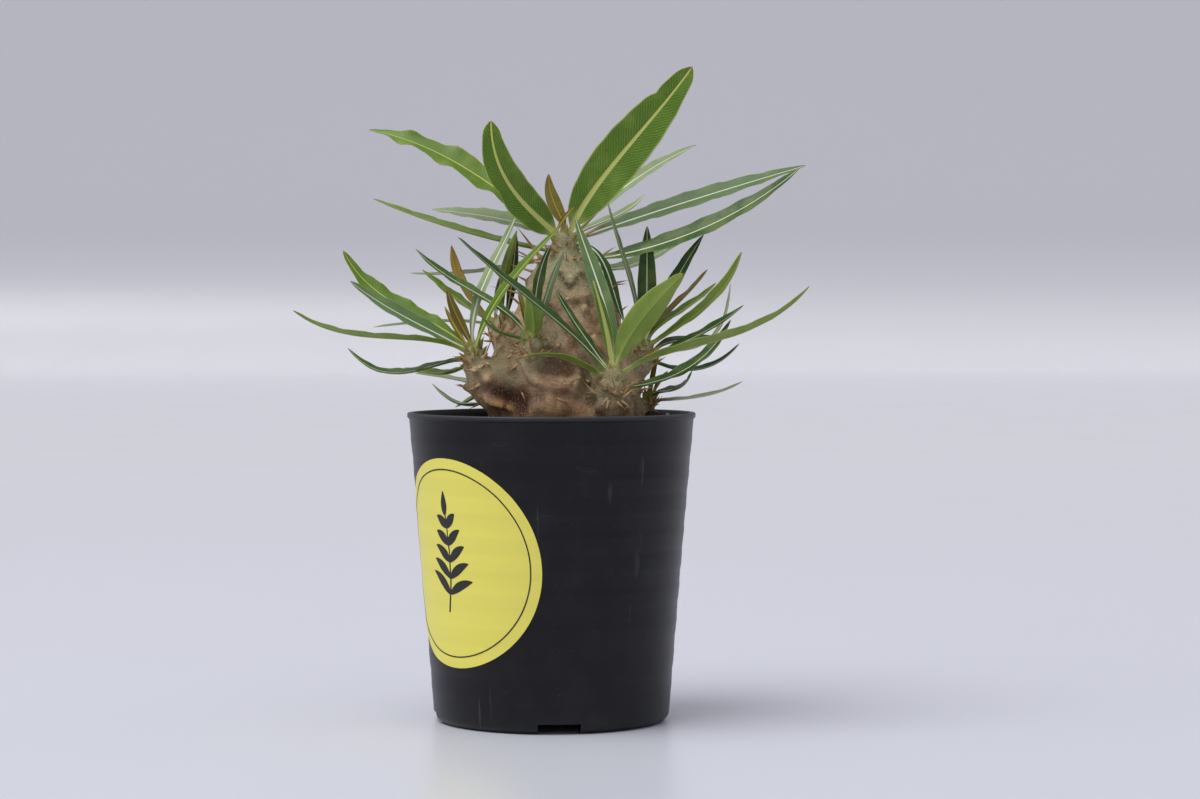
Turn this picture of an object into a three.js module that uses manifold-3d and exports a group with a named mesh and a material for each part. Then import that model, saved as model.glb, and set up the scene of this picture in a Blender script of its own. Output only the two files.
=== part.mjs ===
// A potted Pachypodium cactipes: a swollen, branching caudex with rosettes of narrow leaves, in a
// round black nursery pot with a yellow paper label on its side.
//
// Millimetres, +Z up. The origin is on the pot's axis, on the face that the pot stands on. The side
// that the photograph shows is -Y, with +X to the viewer's right.

import * as THREE from 'three';
import { mergeVertices } from 'three/addons/utils/BufferGeometryUtils.js';
import Module from 'manifold-3d';

const wasm = await Module();
wasm.setup();

// Driving dimensions

const CLEARANCE = 0.3;            // between two pieces that touch on the real object

const POT_HEIGHT = 96;
const POT_LIP_RADIUS = 45;        // a 90 mm pot is sold by this size
const POT_LIP_HEIGHT = 1.7;
const POT_LIP_EDGE = 0.45;        // the lip's rounded outer edges
const POT_FOOT_RADIUS = 36.65;    // where the wall's line meets the table
const POT_WALL_LEAN = 0.074;      // radius gained per mm of height at the foot
const POT_WALL_FLARE = 0.00009;   // and how fast that lean grows
const POT_WALL = 1.2;
const POT_CORNER = 3;             // rounding between the wall and the foot
const POT_SIDES = 60;
const POT_WALL_STEPS = 6;
const POT_CORNER_STEPS = 4;
const FOOT_RECESS = 3.2;          // how far the floor is lifted between its pad and its foot ring
const FOOT_RING_INNER = 29;
const PAD_RADIUS = 9;             // the flat pad under the middle of the floor
const RECESS_SLOPE = 1;
const FLOOR_TOP = 4.4;
const NOTCH_COUNT = 4;            // water escapes through notches in the foot ring
const NOTCH_WIDTH = 13;
const NOTCH_TURN = 4.6;            // degrees that the front notch stands to the right
const NOTCH_REACH = 14;           // long enough to cross the foot ring
const DRAIN_HOLE_RADIUS = 4;
const DRAIN_HOLE_PLACE = 19;      // from the pot's axis
const DRAIN_HOLE_TURN = 45;       // degrees from a notch to the next hole
const DRAIN_HOLE_SIDES = 20;

const LABEL_RADIUS = 32;
const LABEL_HEIGHT = 51;          // of its centre above the table
const LABEL_AZIMUTH = 48.2;       // degrees from the front towards the viewer's left
const LABEL_THICKNESS = 0.3;
const LABEL_SIDES = 36;
const LABEL_RINGS = 6;

const SOIL_LEVEL = 88.5;          // at the wall
const SOIL_SWELL = 2.5;           // the surface rises this much towards the caudex
const SOIL_MOUND = { x: 30, y: 17, height: 7.5, reach: 8 };
const SOIL_SIDES = 48;
const SOIL_WALL_STEPS = 5;
const SOIL_SURFACE_STEPS = 9;

const TRUNK_SIDES = 24;
const LIMB_SIDES = 12;
const RINGS_PER_STATION = 2;
const CROWN_SIDES = 12;
const CROWN_RINGS = 4;

const LEAF_THICKNESS_ABOVE = 0.15;
const LEAF_THICKNESS_BELOW = 0.65;  // the midrib stands out below the blade
const LEAF_STALK = 1.4;             // width of the short stalk
const LEAF_FOLD = 15;               // degrees that each half of the blade is raised, unless given
const LEAF_ROUNDNESS = 0.75;
const LEAF_SIDES = 4;               // one edge, the upper face, the other edge and the midrib
const LEAF_RINGS = 10;
const LEAF_THINNING = 4;            // the power with which a leaf thins out towards its tip
const CONTROL_REACH = 4 / 3;        // a cubic's middle comes three quarters of the way to its controls
const SIDE_SEAT = 0.2;              // a lowered leaf sits on its crown's side, not on the round top

// Each branch ends in a crown: a short upright column with a round top that carries a rosette.
const CROWNS = {
  top: { centre: [4.2, 0, 149], radius: 4.5, column: 8 },
  left: { centre: [-23.8, -10, 114.3], radius: 3.5, column: 4 },
  front: { centre: [-5.7, -18, 118], radius: 3.2, column: 4 },
  right: { centre: [19, -20, 107], radius: 4.5, column: 4 },
  rear_right: { centre: [28, 3, 115.5], radius: 4, column: 5 },
  low_right: { centre: [30.4, 15, 99.5], radius: 2.5, column: 3 },
  rear_left: { centre: [-15.4, 8, 123], radius: 3.5, column: 4 },
  low_left: { centre: [-17.5, 21, 101], radius: 3.3, column: 4 },
};

// Stations of each limb of the caudex: centre, then its radius along X and along Y.
const TRUNK = [
  { at: [2, 2, 62], wide: 1, deep: 1 },
  { at: [2, 2, 70], wide: 7, deep: 7 },
  { at: [2, 1, 82], wide: 15, deep: 14 },
  { at: [3, 0, 92], wide: 22, deep: 19 },
  { at: [3.2, 0, 101], wide: 24, deep: 20.5 },
  { at: [3.2, 0, 110], wide: 23, deep: 19 },
  { at: [4, 0.5, 119], wide: 19, deep: 17 },
  { at: [4.8, 0.5, 127], wide: 16, deep: 15 },
  { at: [4.8, 0.4, 134], wide: 14, deep: 12.8 },
  { at: [4.4, 0.2, 141], wide: 10.2, deep: 9.4 },
  { at: [4.2, 0, 146], wide: 4.2, deep: 4.2 },
  { at: [4.2, 0, 149], wide: 1, deep: 1 },
];
const LIMBS = {
  left: [
    { at: [-2, -2, 97], wide: 1, deep: 1 },
    { at: [-10, -5, 101], wide: 11, deep: 10 },
    { at: [-16.5, -8, 105], wide: 9, deep: 9 },
    { at: [-20.5, -9.5, 109], wide: 6.8, deep: 6.8 },
    { at: [-23.5, -10, 113], wide: 1, deep: 1 },
  ],
  front: [
    { at: [-1, -4, 104], wide: 1, deep: 1 },
    { at: [-3, -10, 108], wide: 8, deep: 8 },
    { at: [-4.6, -14.6, 112], wide: 6, deep: 6 },
    { at: [-5.7, -18, 116.5], wide: 1, deep: 1 },
  ],
  right: [
    { at: [6, -4, 94], wide: 1, deep: 1 },
    { at: [13, -12, 96], wide: 10, deep: 10 },
    { at: [17, -17, 99], wide: 8.6, deep: 8.6 },
    { at: [18, -19.5, 102.5], wide: 7.2, deep: 7.2 },
    { at: [19, -20, 106], wide: 1, deep: 1 },
  ],
  rear_right: [
    { at: [8, 1, 102], wide: 1, deep: 1 },
    { at: [16, 2, 105], wide: 10, deep: 10 },
    { at: [22.5, 2.6, 109], wide: 7.5, deep: 7.5 },
    { at: [27.6, 3, 114], wide: 1, deep: 1 },
  ],
  low_right: [
    { at: [12, 6, 94], wide: 1, deep: 1 },
    { at: [21, 10.5, 94.5], wide: 6.5, deep: 6.5 },
    { at: [27.5, 13.8, 96], wide: 4, deep: 4 },
    { at: [30.3, 15, 99], wide: 1, deep: 1 },
  ],
  rear_left: [
    { at: [-4, 2, 109], wide: 1, deep: 1 },
    { at: [-9.5, 5, 113], wide: 8.5, deep: 8.5 },
    { at: [-13.6, 7.2, 117], wide: 6, deep: 6 },
    { at: [-15.4, 8, 121.5], wide: 1, deep: 1 },
  ],
  low_left: [
    { at: [-4, 8, 95], wide: 1, deep: 1 },
    { at: [-11, 14, 96], wide: 7, deep: 7 },
    { at: [-15.5, 18.6, 97.4], wide: 4.8, deep: 4.8 },
    { at: [-17.4, 21, 100], wide: 1, deep: 1 },
  ],
};

// One entry for each leaf. tip is measured from its crown's centre. arch is how far the middle stands
// above the straight line from base to tip, and curl lifts the lower half and drops the upper one.
// sway bends it sideways. tilt turns the upper face from straight up (0) to the front (90), and spin
// then turns it about +Z. fold is in degrees.
// down lowers the base and out sets it further from the crown's axis. belly moves the widest place
// towards the base (below 1) or the tip, and round keeps the blade wide towards both ends (below 1).
const LEAVES = {
  top: [
    { tip: [39.5, -8, 54], width: 15, arch: 1.6, curl: 2.5, tilt: 82, belly: 0.9, round: 0.65,
      green: 'fresh' },
    { tip: [-22.5, -14, 37], width: 11, arch: -5.8, curl: 3.3, tilt: 78, belly: 0.9, round: 0.5,
      green: 'fresh' },
    { tip: [-63, 22, 36.5], width: 10.5, arch: 4.6, curl: -2.2, tilt: 36, fold: 25, green: 'dark' },
    { tip: [-5, 1, 21.5], width: 4.4, arch: -0.4, curl: 2, tilt: 80, belly: 1.1, green: 'bronze' },
    { tip: [-61.5, 20, 14.5], width: 9, arch: -2.1, curl: 0, tilt: 5, down: 2.5, green: 'fresh' },
    { tip: [-43.5, 32, 11.5], width: 9, arch: 2.2, curl: 0.9, tilt: 28, green: 'pale' },
    { tip: [76, 10, 24.5], width: 8, arch: 0.5, curl: 0, tilt: 38, green: 'dark' },
    { tip: [73, -4, 23], width: 8, arch: -6.2, curl: 0.9, tilt: 38, down: 5.5, out: 3.7, green: 'dark' },
    { tip: [40, 25, 3.5], width: 7.5, arch: -5.2, curl: -1.4, tilt: 18, down: 6, out: 4.8,
      green: 'pale' },
    { tip: [42.5, 42, 33], width: 7, arch: 3, curl: 0, tilt: 14, green: 'pale' },
    { tip: [18.5, -9, -25], width: 3.4, arch: 5, curl: 4.2, tilt: 25, belly: 1.2, green: 'dark' },
    { tip: [-50.5, 32, -9], width: 7.5, arch: -1.5, curl: 1, tilt: 5, down: 4.5, out: 2, green: 'pale' },
    { tip: [25.5, 34, 16.5], width: 4.5, arch: -0.9, curl: 2.5, tilt: 12, green: 'pale' },
  ],
  left: [
    { tip: [-42, 18, 32.5], width: 8, arch: -2.7, curl: 5.5, tilt: 26, green: 'dark' },
    { tip: [-38, -3, 22.5], width: 8, arch: -0.9, curl: 1.1, tilt: 28, green: 'pale' },
    { tip: [-54, -18, 13.5], width: 9, arch: -1.6, curl: 6.2, tilt: -5, green: 'fresh' },
    { tip: [-39.5, 5, 2], width: 6, arch: -5.8, curl: 6.1, tilt: 14, down: 1.5, green: 'dark' },
    { tip: [-22.5, 14, -4.5], width: 6, arch: -2.2, curl: -0.7, tilt: 15, down: 3, green: 'fresh' },
    { tip: [27, -20, 38.5], width: 4.7, arch: 2.4, curl: 0.9, sway: -2.2, tilt: 38, belly: 0.9,
      green: 'fresh' },
    { tip: [-8, -5, 21], width: 3.2, arch: -0.6, curl: 1.2, tilt: 75, belly: 1.1, green: 'bronze' },
    { tip: [13.5, 9.5, 45], width: 3.6, arch: 3.4, curl: 3.7, tilt: 20, green: 'pale' },
  ],
  front: [
    { tip: [-36.5, 14, 29], width: 5.5, arch: 0.8, curl: 4, tilt: 14, green: 'dark' },
    { tip: [-1, -9, 16.5], width: 5.7, arch: -1, curl: 0, sway: 1.1, tilt: -60, belly: 0.8,
      green: 'pale' },
    { tip: [-15.5, -8, 9.5], width: 2.2, arch: -2.2, curl: 2.1, tilt: 10, green: 'dark' },
    { tip: [-4, 2, 15.5], width: 1.8, arch: 0, curl: 0, tilt: 70, green: 'bronze' },
    { tip: [6, -1, 30], width: 4.6, arch: 1.7, curl: -1.2, tilt: 80, spin: 45, green: 'dark' },
    { tip: [10, 8, 29], width: 3.8, arch: 0.6, curl: -0.7, tilt: 80, spin: 62, green: 'pale' },
  ],
  right: [
    { tip: [-6, -8, 30], width: 3.4, arch: 1.5, curl: 0.3, tilt: 80, green: 'fresh' },
    { tip: [21.5, -6, 32], width: 9, arch: 2.7, curl: 0.7, tilt: -75, green: 'pale' },
    { tip: [-46, -26, 42.5], width: 7.2, arch: 1, curl: 2.2, tilt: 28, green: 'dark' },
    { tip: [-17.5, 2, 27.5], width: 3.9, arch: -0.5, curl: 0.7, tilt: 18, green: 'fresh' },
    { tip: [-11.5, 12, 49.5], width: 5.4, arch: 2, curl: 2.6, sway: -1.3, tilt: 85, green: 'pale' },
    { tip: [-27, -14, 6.5], width: 6.3, arch: 2.6, curl: -2.2, tilt: -5, belly: 0.9, green: 'fresh' },
    { tip: [61, 10, 28.5], width: 8, arch: -2.9, curl: 6.9, tilt: -20, belly: 0.9, green: 'fresh' },
    { tip: [37, 19, 18], width: 6.6, arch: -6.3, curl: 2, tilt: 12, down: 2.8, out: 0.3, green: 'dark' },
  ],
  rear_right: [
    { tip: [2, 5, 39], width: 6, arch: -2.2, curl: -1.6, tilt: 85, green: 'dark' },
    { tip: [19.5, -5, 36], width: 5.2, arch: 0.9, curl: 0, tilt: 36, belly: 1.1, green: 'dark' },
    { tip: [32, 9, 31], width: 6.6, arch: -4.1, curl: 2.2, tilt: -28, green: 'fresh' },
    { tip: [21.5, 16, 25.5], width: 7, arch: 0.8, curl: 1.8, tilt: -26, green: 'bronze' },
    { tip: [23.5, -2, 21], width: 6, arch: 0.8, curl: 2.4, tilt: 18, green: 'fresh' },
    { tip: [-10.5, -18, 45.5], width: 4, arch: 2.3, curl: 3, tilt: 60, spin: 60, green: 'dark' },
    { tip: [32, -5, 14], width: 6, arch: -1.9, curl: 0.4, tilt: 20, down: 2, green: 'dark' },
    { tip: [34.5, 14, 7], width: 7.5, arch: 0, curl: 5, tilt: 14, down: 1, green: 'dark' },
    { tip: [29, 23, 21.5], width: 2.4, arch: -10.3, curl: 7.5, tilt: -3, down: 1, green: 'pale' },
    { tip: [31, 3, 2], width: 5.2, arch: -5.6, curl: 1.7, tilt: 8, down: 3, green: 'dark' },
  ],
  low_right: [
    { tip: [3.5, -9, 15], width: 1.7, arch: 0.8, curl: -0.8, tilt: 50, green: 'bronze' },
    { tip: [13.5, -15, 9.5], width: 5.5, arch: -1.7, curl: 3.6, tilt: 30, green: 'dark' },
    { tip: [31, 17, 5.5], width: 4, arch: -1.9, curl: 1, tilt: 0, green: 'pale' },
  ],
  rear_left: [
    { tip: [5, -20, 29.5], width: 3, arch: 3.7, curl: 2.7, tilt: -45, sway: -0.8, green: 'fresh' },
    { tip: [4.5, -7, 28.5], width: 3.9, arch: -1.1, curl: -0.6, tilt: 80, spin: 45, green: 'dark' },
    { tip: [-16.5, 5, 25.5], width: 5.4, arch: -4, curl: 0.3, tilt: -22, belly: 1.1, green: 'bronze' },
    { tip: [-26.5, 15, 18], width: 6, arch: -1.3, curl: -0.3, tilt: 5, green: 'fresh' },
    { tip: [-43, 24, -0.5], width: 3.2, arch: 1.8, curl: 0.6, tilt: -3, green: 'pale' },
  ],
  low_left: [
    { tip: [-21.5, 7, 3.5], width: 3.3, arch: -4.6, curl: 0.7, tilt: 3, out: 0.3, green: 'pale' },
    { tip: [-14.5, 15, -4.5], width: 6.5, arch: 1.3, curl: 1.3, tilt: 30, green: 'fresh' },
    { tip: [-28, 19, 6.5], width: 4.6, arch: 1.5, curl: 0.6, tilt: 5, green: 'pale' },
  ],
};

const FINISHES = {
  pot: { color: 0x24262b, roughness: 0.42, metalness: 0 },
  label: { color: 0xd9cf4a, roughness: 0.5, metalness: 0 },
  soil: { color: 0x2b211b, roughness: 1, metalness: 0 },
  bark: { color: 0xa0826a, roughness: 0.7, metalness: 0 },
  fresh: { color: 0x7fa03c, roughness: 0.4, metalness: 0 },
  dark: { color: 0x3f5f2c, roughness: 0.38, metalness: 0 },
  pale: { color: 0x93a581, roughness: 0.5, metalness: 0 },
  bronze: { color: 0x7c5a35, roughness: 0.45, metalness: 0 },
};

// Geometry helpers

const radians = THREE.MathUtils.degToRad;
const WELD_DISTANCE = 1e-4;
const isPole = (along) => along < 1e-6 || along > 1 - 1e-6;

// A closed geometry as a solid: shared vertices merged, flat triangles dropped, faces outwards.
function solidOf(geometry) {
  const bare = geometry.clone();
  bare.deleteAttribute('normal');
  bare.deleteAttribute('uv');
  const merged = mergeVertices(bare, WELD_DISTANCE);
  const index = Array.from(merged.index.array);
  let triangles = [];
  for (let i = 0; i < index.length; i += 3) {
    const [a, b, c] = index.slice(i, i + 3);
    if (a !== b && b !== c && c !== a) triangles.push([a, b, c]);
  }
  if (signedVolume(merged.attributes.position, triangles) < 0) {
    triangles = triangles.map(([a, b, c]) => [a, c, b]);
  }
  return new wasm.Manifold(new wasm.Mesh({
    numProp: 3,
    vertProperties: new Float32Array(merged.attributes.position.array),
    triVerts: new Uint32Array(triangles.flat()),
  }));
}

function signedVolume(position, triangles) {
  const corner = (i) => new THREE.Vector3().fromBufferAttribute(position, i);
  return triangles.reduce((sum, [a, b, c]) => sum + corner(a).dot(corner(b).cross(corner(c))) / 6, 0);
}

function geometryOf(solid) {
  const mesh = solid.getMesh();
  const geometry = new THREE.BufferGeometry();
  geometry.setAttribute('position', new THREE.BufferAttribute(mesh.vertProperties, 3));
  geometry.setIndex(new THREE.BufferAttribute(mesh.triVerts, 1));
  geometry.computeVertexNormals();
  return geometry;
}

// A sphere's grid drawn over another shape: place(along, around) gives each point, both from 0 to 1.
function skin(sides, rings, place) {
  const geometry = new THREE.SphereGeometry(1, sides, rings);
  const { position, uv } = geometry.attributes;
  for (let i = 0; i < position.count; i += 1) {
    const point = place(1 - uv.getY(i), 1 - uv.getX(i));
    position.setXYZ(i, point.x, point.y, point.z);
  }
  return geometry;
}

// A profile of [radius, height] pairs turned about +Z.
function turned(profile, sides) {
  const points = profile.map(([radius, height]) => new THREE.Vector2(radius, height));
  return new THREE.LatheGeometry(points, sides).rotateX(Math.PI / 2);
}

function piece(name, geometry, finish) {
  const mesh = new THREE.Mesh(geometry, new THREE.MeshStandardMaterial(FINISHES[finish]));
  mesh.name = name;
  return mesh;
}

// Pot

function potWallRadius(height) {
  return POT_FOOT_RADIUS + POT_WALL_LEAN * height + POT_WALL_FLARE * height ** 2;
}

function potInnerRadius(height) {
  return potWallRadius(height) - POT_WALL;
}

// Evenly spaced values, both ends included.
function spread(from, to, steps) {
  return Array.from({ length: steps + 1 }, (_, i) => THREE.MathUtils.lerp(from, to, i / steps));
}

function potProfile() {
  const lipBottom = POT_HEIGHT - POT_LIP_HEIGHT;
  const underside = [
    [0, 0],
    [PAD_RADIUS, 0],
    [PAD_RADIUS + RECESS_SLOPE, FOOT_RECESS],
    [FOOT_RING_INNER - RECESS_SLOPE, FOOT_RECESS],
    [FOOT_RING_INNER, 0],
  ];
  const corner = spread(0, Math.PI / 2, POT_CORNER_STEPS).map((angle) => [
    potWallRadius(POT_CORNER) - POT_CORNER * (1 - Math.sin(angle)),
    POT_CORNER * (1 - Math.cos(angle)),
  ]);
  const outerWall = spread(POT_CORNER, lipBottom, POT_WALL_STEPS)
    .slice(1)
    .map((z) => [potWallRadius(z), z]);
  const lip = [
    [POT_LIP_RADIUS - POT_LIP_EDGE, lipBottom],
    [POT_LIP_RADIUS, lipBottom + POT_LIP_EDGE],
    [POT_LIP_RADIUS, POT_HEIGHT - POT_LIP_EDGE],
    [POT_LIP_RADIUS - POT_LIP_EDGE, POT_HEIGHT],
  ];
  const innerWall = spread(POT_HEIGHT, FLOOR_TOP + POT_CORNER, POT_WALL_STEPS)
    .map((z) => [potInnerRadius(z), z]);
  const floor = [
    [potInnerRadius(FLOOR_TOP) - POT_CORNER, FLOOR_TOP],
    [0, FLOOR_TOP],
  ];
  return [...underside, ...corner, ...outerWall, ...lip, ...innerWall, ...floor];
}

function pot() {
  let body = solidOf(turned(potProfile(), POT_SIDES));
  for (let i = 0; i < NOTCH_COUNT; i += 1) {
    const heading = radians(NOTCH_TURN + (360 / NOTCH_COUNT) * i);
    const notch = new THREE.BoxGeometry(NOTCH_WIDTH, NOTCH_REACH, 2 * FOOT_RECESS)
      .translate(0, -(FOOT_RING_INNER + POT_FOOT_RADIUS) / 2, 0)
      .rotateZ(heading);
    const hole = new THREE.CylinderGeometry(
      DRAIN_HOLE_RADIUS, DRAIN_HOLE_RADIUS, 3 * FLOOR_TOP, DRAIN_HOLE_SIDES,
    )
      .rotateX(Math.PI / 2)
      .translate(0, -DRAIN_HOLE_PLACE, 0)
      .rotateZ(heading + radians(DRAIN_HOLE_TURN));
    body = body.subtract(solidOf(notch)).subtract(solidOf(hole));
  }
  return piece('pot', geometryOf(body), 'pot');
}

// Label: a flat disc wrapped round the wall

function label() {
  const face = (thickness) => spread(0, LABEL_RADIUS, LABEL_RINGS).map((radius) => [radius, thickness]);
  const geometry = turned([...face(0), ...face(LABEL_THICKNESS).reverse()], LABEL_SIDES);
  const { position } = geometry.attributes;
  for (let i = 0; i < position.count; i += 1) {
    const height = LABEL_HEIGHT + position.getY(i);
    const wall = potWallRadius(height);
    const azimuth = radians(LABEL_AZIMUTH) - position.getX(i) / wall;
    const radius = wall + CLEARANCE + position.getZ(i);
    position.setXYZ(i, -radius * Math.sin(azimuth), -radius * Math.cos(azimuth), height);
  }
  return piece('label', geometryOf(solidOf(geometry)), 'label');
}

// Soil: fills the pot to its level, and is cut out round the caudex

function soilHeight(x, y) {
  const fromAxis = Math.hypot(x, y) / POT_LIP_RADIUS;
  const { height, reach } = SOIL_MOUND;
  const fromMound = Math.hypot(x - SOIL_MOUND.x, y - SOIL_MOUND.y);
  const mound = height * Math.exp(-(fromMound ** 2) / (2 * reach ** 2));
  return SOIL_LEVEL + SOIL_SWELL * (1 - fromAxis ** 2) + mound;
}

function soil(caudexSolid) {
  const radiusAt = (z) => potInnerRadius(z) - CLEARANCE;
  const bottom = FLOOR_TOP + CLEARANCE;
  const side = spread(bottom + POT_CORNER, SOIL_LEVEL, SOIL_WALL_STEPS).map((z) => [radiusAt(z), z]);
  const surface = spread(radiusAt(SOIL_LEVEL), 0, SOIL_SURFACE_STEPS)
    .slice(1)
    .map((radius) => [radius, SOIL_LEVEL]);
  const profile = [[0, bottom], [radiusAt(bottom) - POT_CORNER, bottom], ...side, ...surface];
  const geometry = turned(profile, SOIL_SIDES);
  const { position } = geometry.attributes;
  for (let i = 0; i < position.count; i += 1) {
    if (position.getZ(i) > SOIL_LEVEL - WELD_DISTANCE) {
      position.setZ(i, soilHeight(position.getX(i), position.getY(i)));
    }
  }
  return piece('soil', geometryOf(solidOf(geometry).subtract(caudexSolid)), 'soil');
}

// Caudex: trunk, limbs and crowns grown into one body

function limb(stations, sides, grow) {
  const path = new THREE.CatmullRomCurve3(stations.map(({ at }) => new THREE.Vector3(...at)));
  const girth = new THREE.CatmullRomCurve3(
    stations.map(({ wide, deep }, i) => new THREE.Vector3(wide, deep, i)),
  );
  return skin(sides, RINGS_PER_STATION * stations.length, (along, around) => {
    const centre = path.getPoint(along);
    const tangent = path.getTangent(along);
    if (isPole(along)) return centre.addScaledVector(tangent, grow * Math.sign(along - 0.5));
    const across = new THREE.Vector3(1, 0, 0).projectOnPlane(tangent).normalize();
    const behind = new THREE.Vector3().crossVectors(tangent, across);
    const size = girth.getPoint(along);
    const angle = 2 * Math.PI * around;
    return centre
      .addScaledVector(across, (size.x + grow) * Math.cos(angle))
      .addScaledVector(behind, (size.y + grow) * Math.sin(angle));
  });
}

function crown({ centre, radius, column }, grow) {
  const [x, y, z] = centre;
  return new THREE.CapsuleGeometry(radius + grow, column, CROWN_RINGS, CROWN_SIDES)
    .rotateX(Math.PI / 2)
    .translate(x, y, z - column / 2);
}

// grow swells the whole caudex, to cut its seat in the soil with a clearance.
function caudexBody(grow = 0) {
  let body = solidOf(limb(TRUNK, TRUNK_SIDES, grow));
  for (const stations of Object.values(LIMBS)) {
    body = body.add(solidOf(limb(stations, LIMB_SIDES, grow)));
  }
  for (const place of Object.values(CROWNS)) {
    body = body.add(solidOf(crown(place, grow)));
  }
  return body;
}

// Leaves

// The midline leaves its crown squarely, so the leaf's base sits just off the crown's surface.
function midline({ tip, arch, curl, sway = 0, down = 0, out = 0 }, { centre, radius }) {
  const root = new THREE.Vector3(...centre).setZ(centre[2] - down);
  const end = new THREE.Vector3(...centre).add(new THREE.Vector3(...tip));
  const chord = end.clone().sub(root);
  const leftwards = new THREE.Vector3(-chord.y, chord.x, 0).normalize();
  const upwards = new THREE.Vector3().crossVectors(chord, leftwards).normalize();
  const bend = (along, rise) => root.clone().addScaledVector(chord, along)
    .addScaledVector(upwards, CONTROL_REACH * arch + rise)
    .addScaledVector(leftwards, CONTROL_REACH * sway);
  const lower = bend(1 / 3, curl);
  const upper = bend(2 / 3, -curl);
  const seat = lower.clone().sub(root);
  if (down > 0) seat.z *= SIDE_SEAT;
  root.addScaledVector(seat.normalize(), radius + CLEARANCE + out);
  return new THREE.CubicBezierCurve3(root, lower, upper, end);
}

function bladeWidth(along, { width, belly = 1, round = LEAF_ROUNDNESS }) {
  return Math.max(LEAF_STALK, width * Math.sin(Math.PI * along ** belly) ** round);
}

function leaf(name, spec, place) {
  const path = midline(spec, place);
  const { tilt, spin = 0, fold = LEAF_FOLD, green } = spec;
  const upperFace = new THREE.Vector3(0, -Math.sin(radians(tilt)), Math.cos(radians(tilt)))
    .applyAxisAngle(new THREE.Vector3(0, 0, 1), radians(spin));
  const geometry = skin(LEAF_SIDES, LEAF_RINGS, (along, around) => {
    const centre = path.getPoint(along);
    if (isPole(along)) return centre;
    const tangent = path.getTangent(along);
    const normal = upperFace.clone().projectOnPlane(tangent).normalize();
    const across = new THREE.Vector3().crossVectors(normal, tangent);
    const half = bladeWidth(along, spec) / 2;
    const thin = 1 - along ** LEAF_THINNING;
    const corner = Math.round(around * LEAF_SIDES) % LEAF_SIDES;
    if (corner === 1) return centre.addScaledVector(normal, LEAF_THICKNESS_ABOVE * thin);
    if (corner === 3) return centre.addScaledVector(normal, -LEAF_THICKNESS_BELOW * thin);
    return centre
      .addScaledVector(across, half * Math.cos(radians(fold)) * (corner === 0 ? 1 : -1))
      .addScaledVector(normal, half * Math.sin(radians(fold)));
  });
  return piece(name, geometryOf(solidOf(geometry)), green);
}

// The whole plant in its pot

const plant = new THREE.Group();
plant.add(pot(), label(), soil(caudexBody(CLEARANCE)));
plant.add(piece('caudex', geometryOf(caudexBody()), 'bark'));
for (const [crownName, leaves] of Object.entries(LEAVES)) {
  leaves.forEach((spec, i) => {
    const number = String(i + 1).padStart(2, '0');
    plant.add(leaf(`leaf_${crownName}_${number}`, spec, CROWNS[crownName]));
  });
}

export default plant;
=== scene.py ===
"""A potted Pachypodium cactipes: the looks of its pot, label, soil, caudex, spines and leaves.

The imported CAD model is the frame. Blender's units are metres; the numbers in the tables and in the
mesh code are millimetres in the same frame, and MM turns them into metres.
"""

import math

import bmesh
import bpy
import numpy as np
from bpy.props import FloatProperty, FloatVectorProperty, IntProperty, PointerProperty
from mathutils import Matrix, Vector, noise
from mathutils.bvhtree import BVHTree


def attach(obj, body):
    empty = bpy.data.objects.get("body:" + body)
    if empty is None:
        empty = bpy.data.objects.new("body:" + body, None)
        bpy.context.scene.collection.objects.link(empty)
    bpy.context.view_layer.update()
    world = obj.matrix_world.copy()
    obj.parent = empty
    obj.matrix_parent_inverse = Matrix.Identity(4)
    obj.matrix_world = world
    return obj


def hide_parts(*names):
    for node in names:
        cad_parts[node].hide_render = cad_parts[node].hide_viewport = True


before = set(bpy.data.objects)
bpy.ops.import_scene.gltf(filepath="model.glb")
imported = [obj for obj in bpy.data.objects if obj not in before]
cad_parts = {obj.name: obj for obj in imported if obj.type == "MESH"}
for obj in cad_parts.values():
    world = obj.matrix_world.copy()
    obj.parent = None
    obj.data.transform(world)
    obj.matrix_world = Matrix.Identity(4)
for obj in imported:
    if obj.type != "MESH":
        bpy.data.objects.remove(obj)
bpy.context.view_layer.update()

bl_info = {
    "name": "Potted pachypodium",
    "version": (1, 0, 0),
    "blender": (4, 5, 0),
    "location": "View3D > Sidebar > Plant",
    "description": "Builds a potted pachypodium round its packed CAD model",
    "category": "Add Mesh",
}

MM = 0.001
SEED = 20

# The photograph's frame and where its camera stood, in pixels and millimetres
PHOTO_CENTRE = (600.0, 399.5)
PHOTO_WIDTH = 1200
SENSOR_WIDTH = 36.0
CAMERA_PLACE = Vector((15.15, -885.0, 125.0))
CAMERA_PITCH = math.radians(1.62)


def rgb(red, green, blue):
    """A colour given as screen values from 0 to 255, made linear."""
    values = [c / 255 for c in (red, green, blue)]
    return tuple(c / 12.92 if c <= 0.04045 else ((c + 0.055) / 1.055) ** 2.4 for c in values)


# Sizes and colours that a user would change


def length(name, description, default):
    """A length property, given in millimetres and kept in metres."""
    return FloatProperty(
        name=name, description=description, default=default * MM, min=0.0, precision=5,
        subtype="DISTANCE", unit="LENGTH",
    )


def colour(name, description, default):
    """A colour property, given as screen values."""
    return FloatVectorProperty(
        name=name, description=description, default=rgb(*default), size=3, min=0.0, max=1.0,
        subtype="COLOR",
    )


def share(name, description, default):
    return FloatProperty(
        name=name, description=description, default=default, min=0.0, max=1.0, subtype="FACTOR"
    )


def number(name, description, default):
    return FloatProperty(name=name, description=description, default=default)


def count(name, description, default):
    return IntProperty(name=name, description=description, default=default, min=0)


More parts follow.
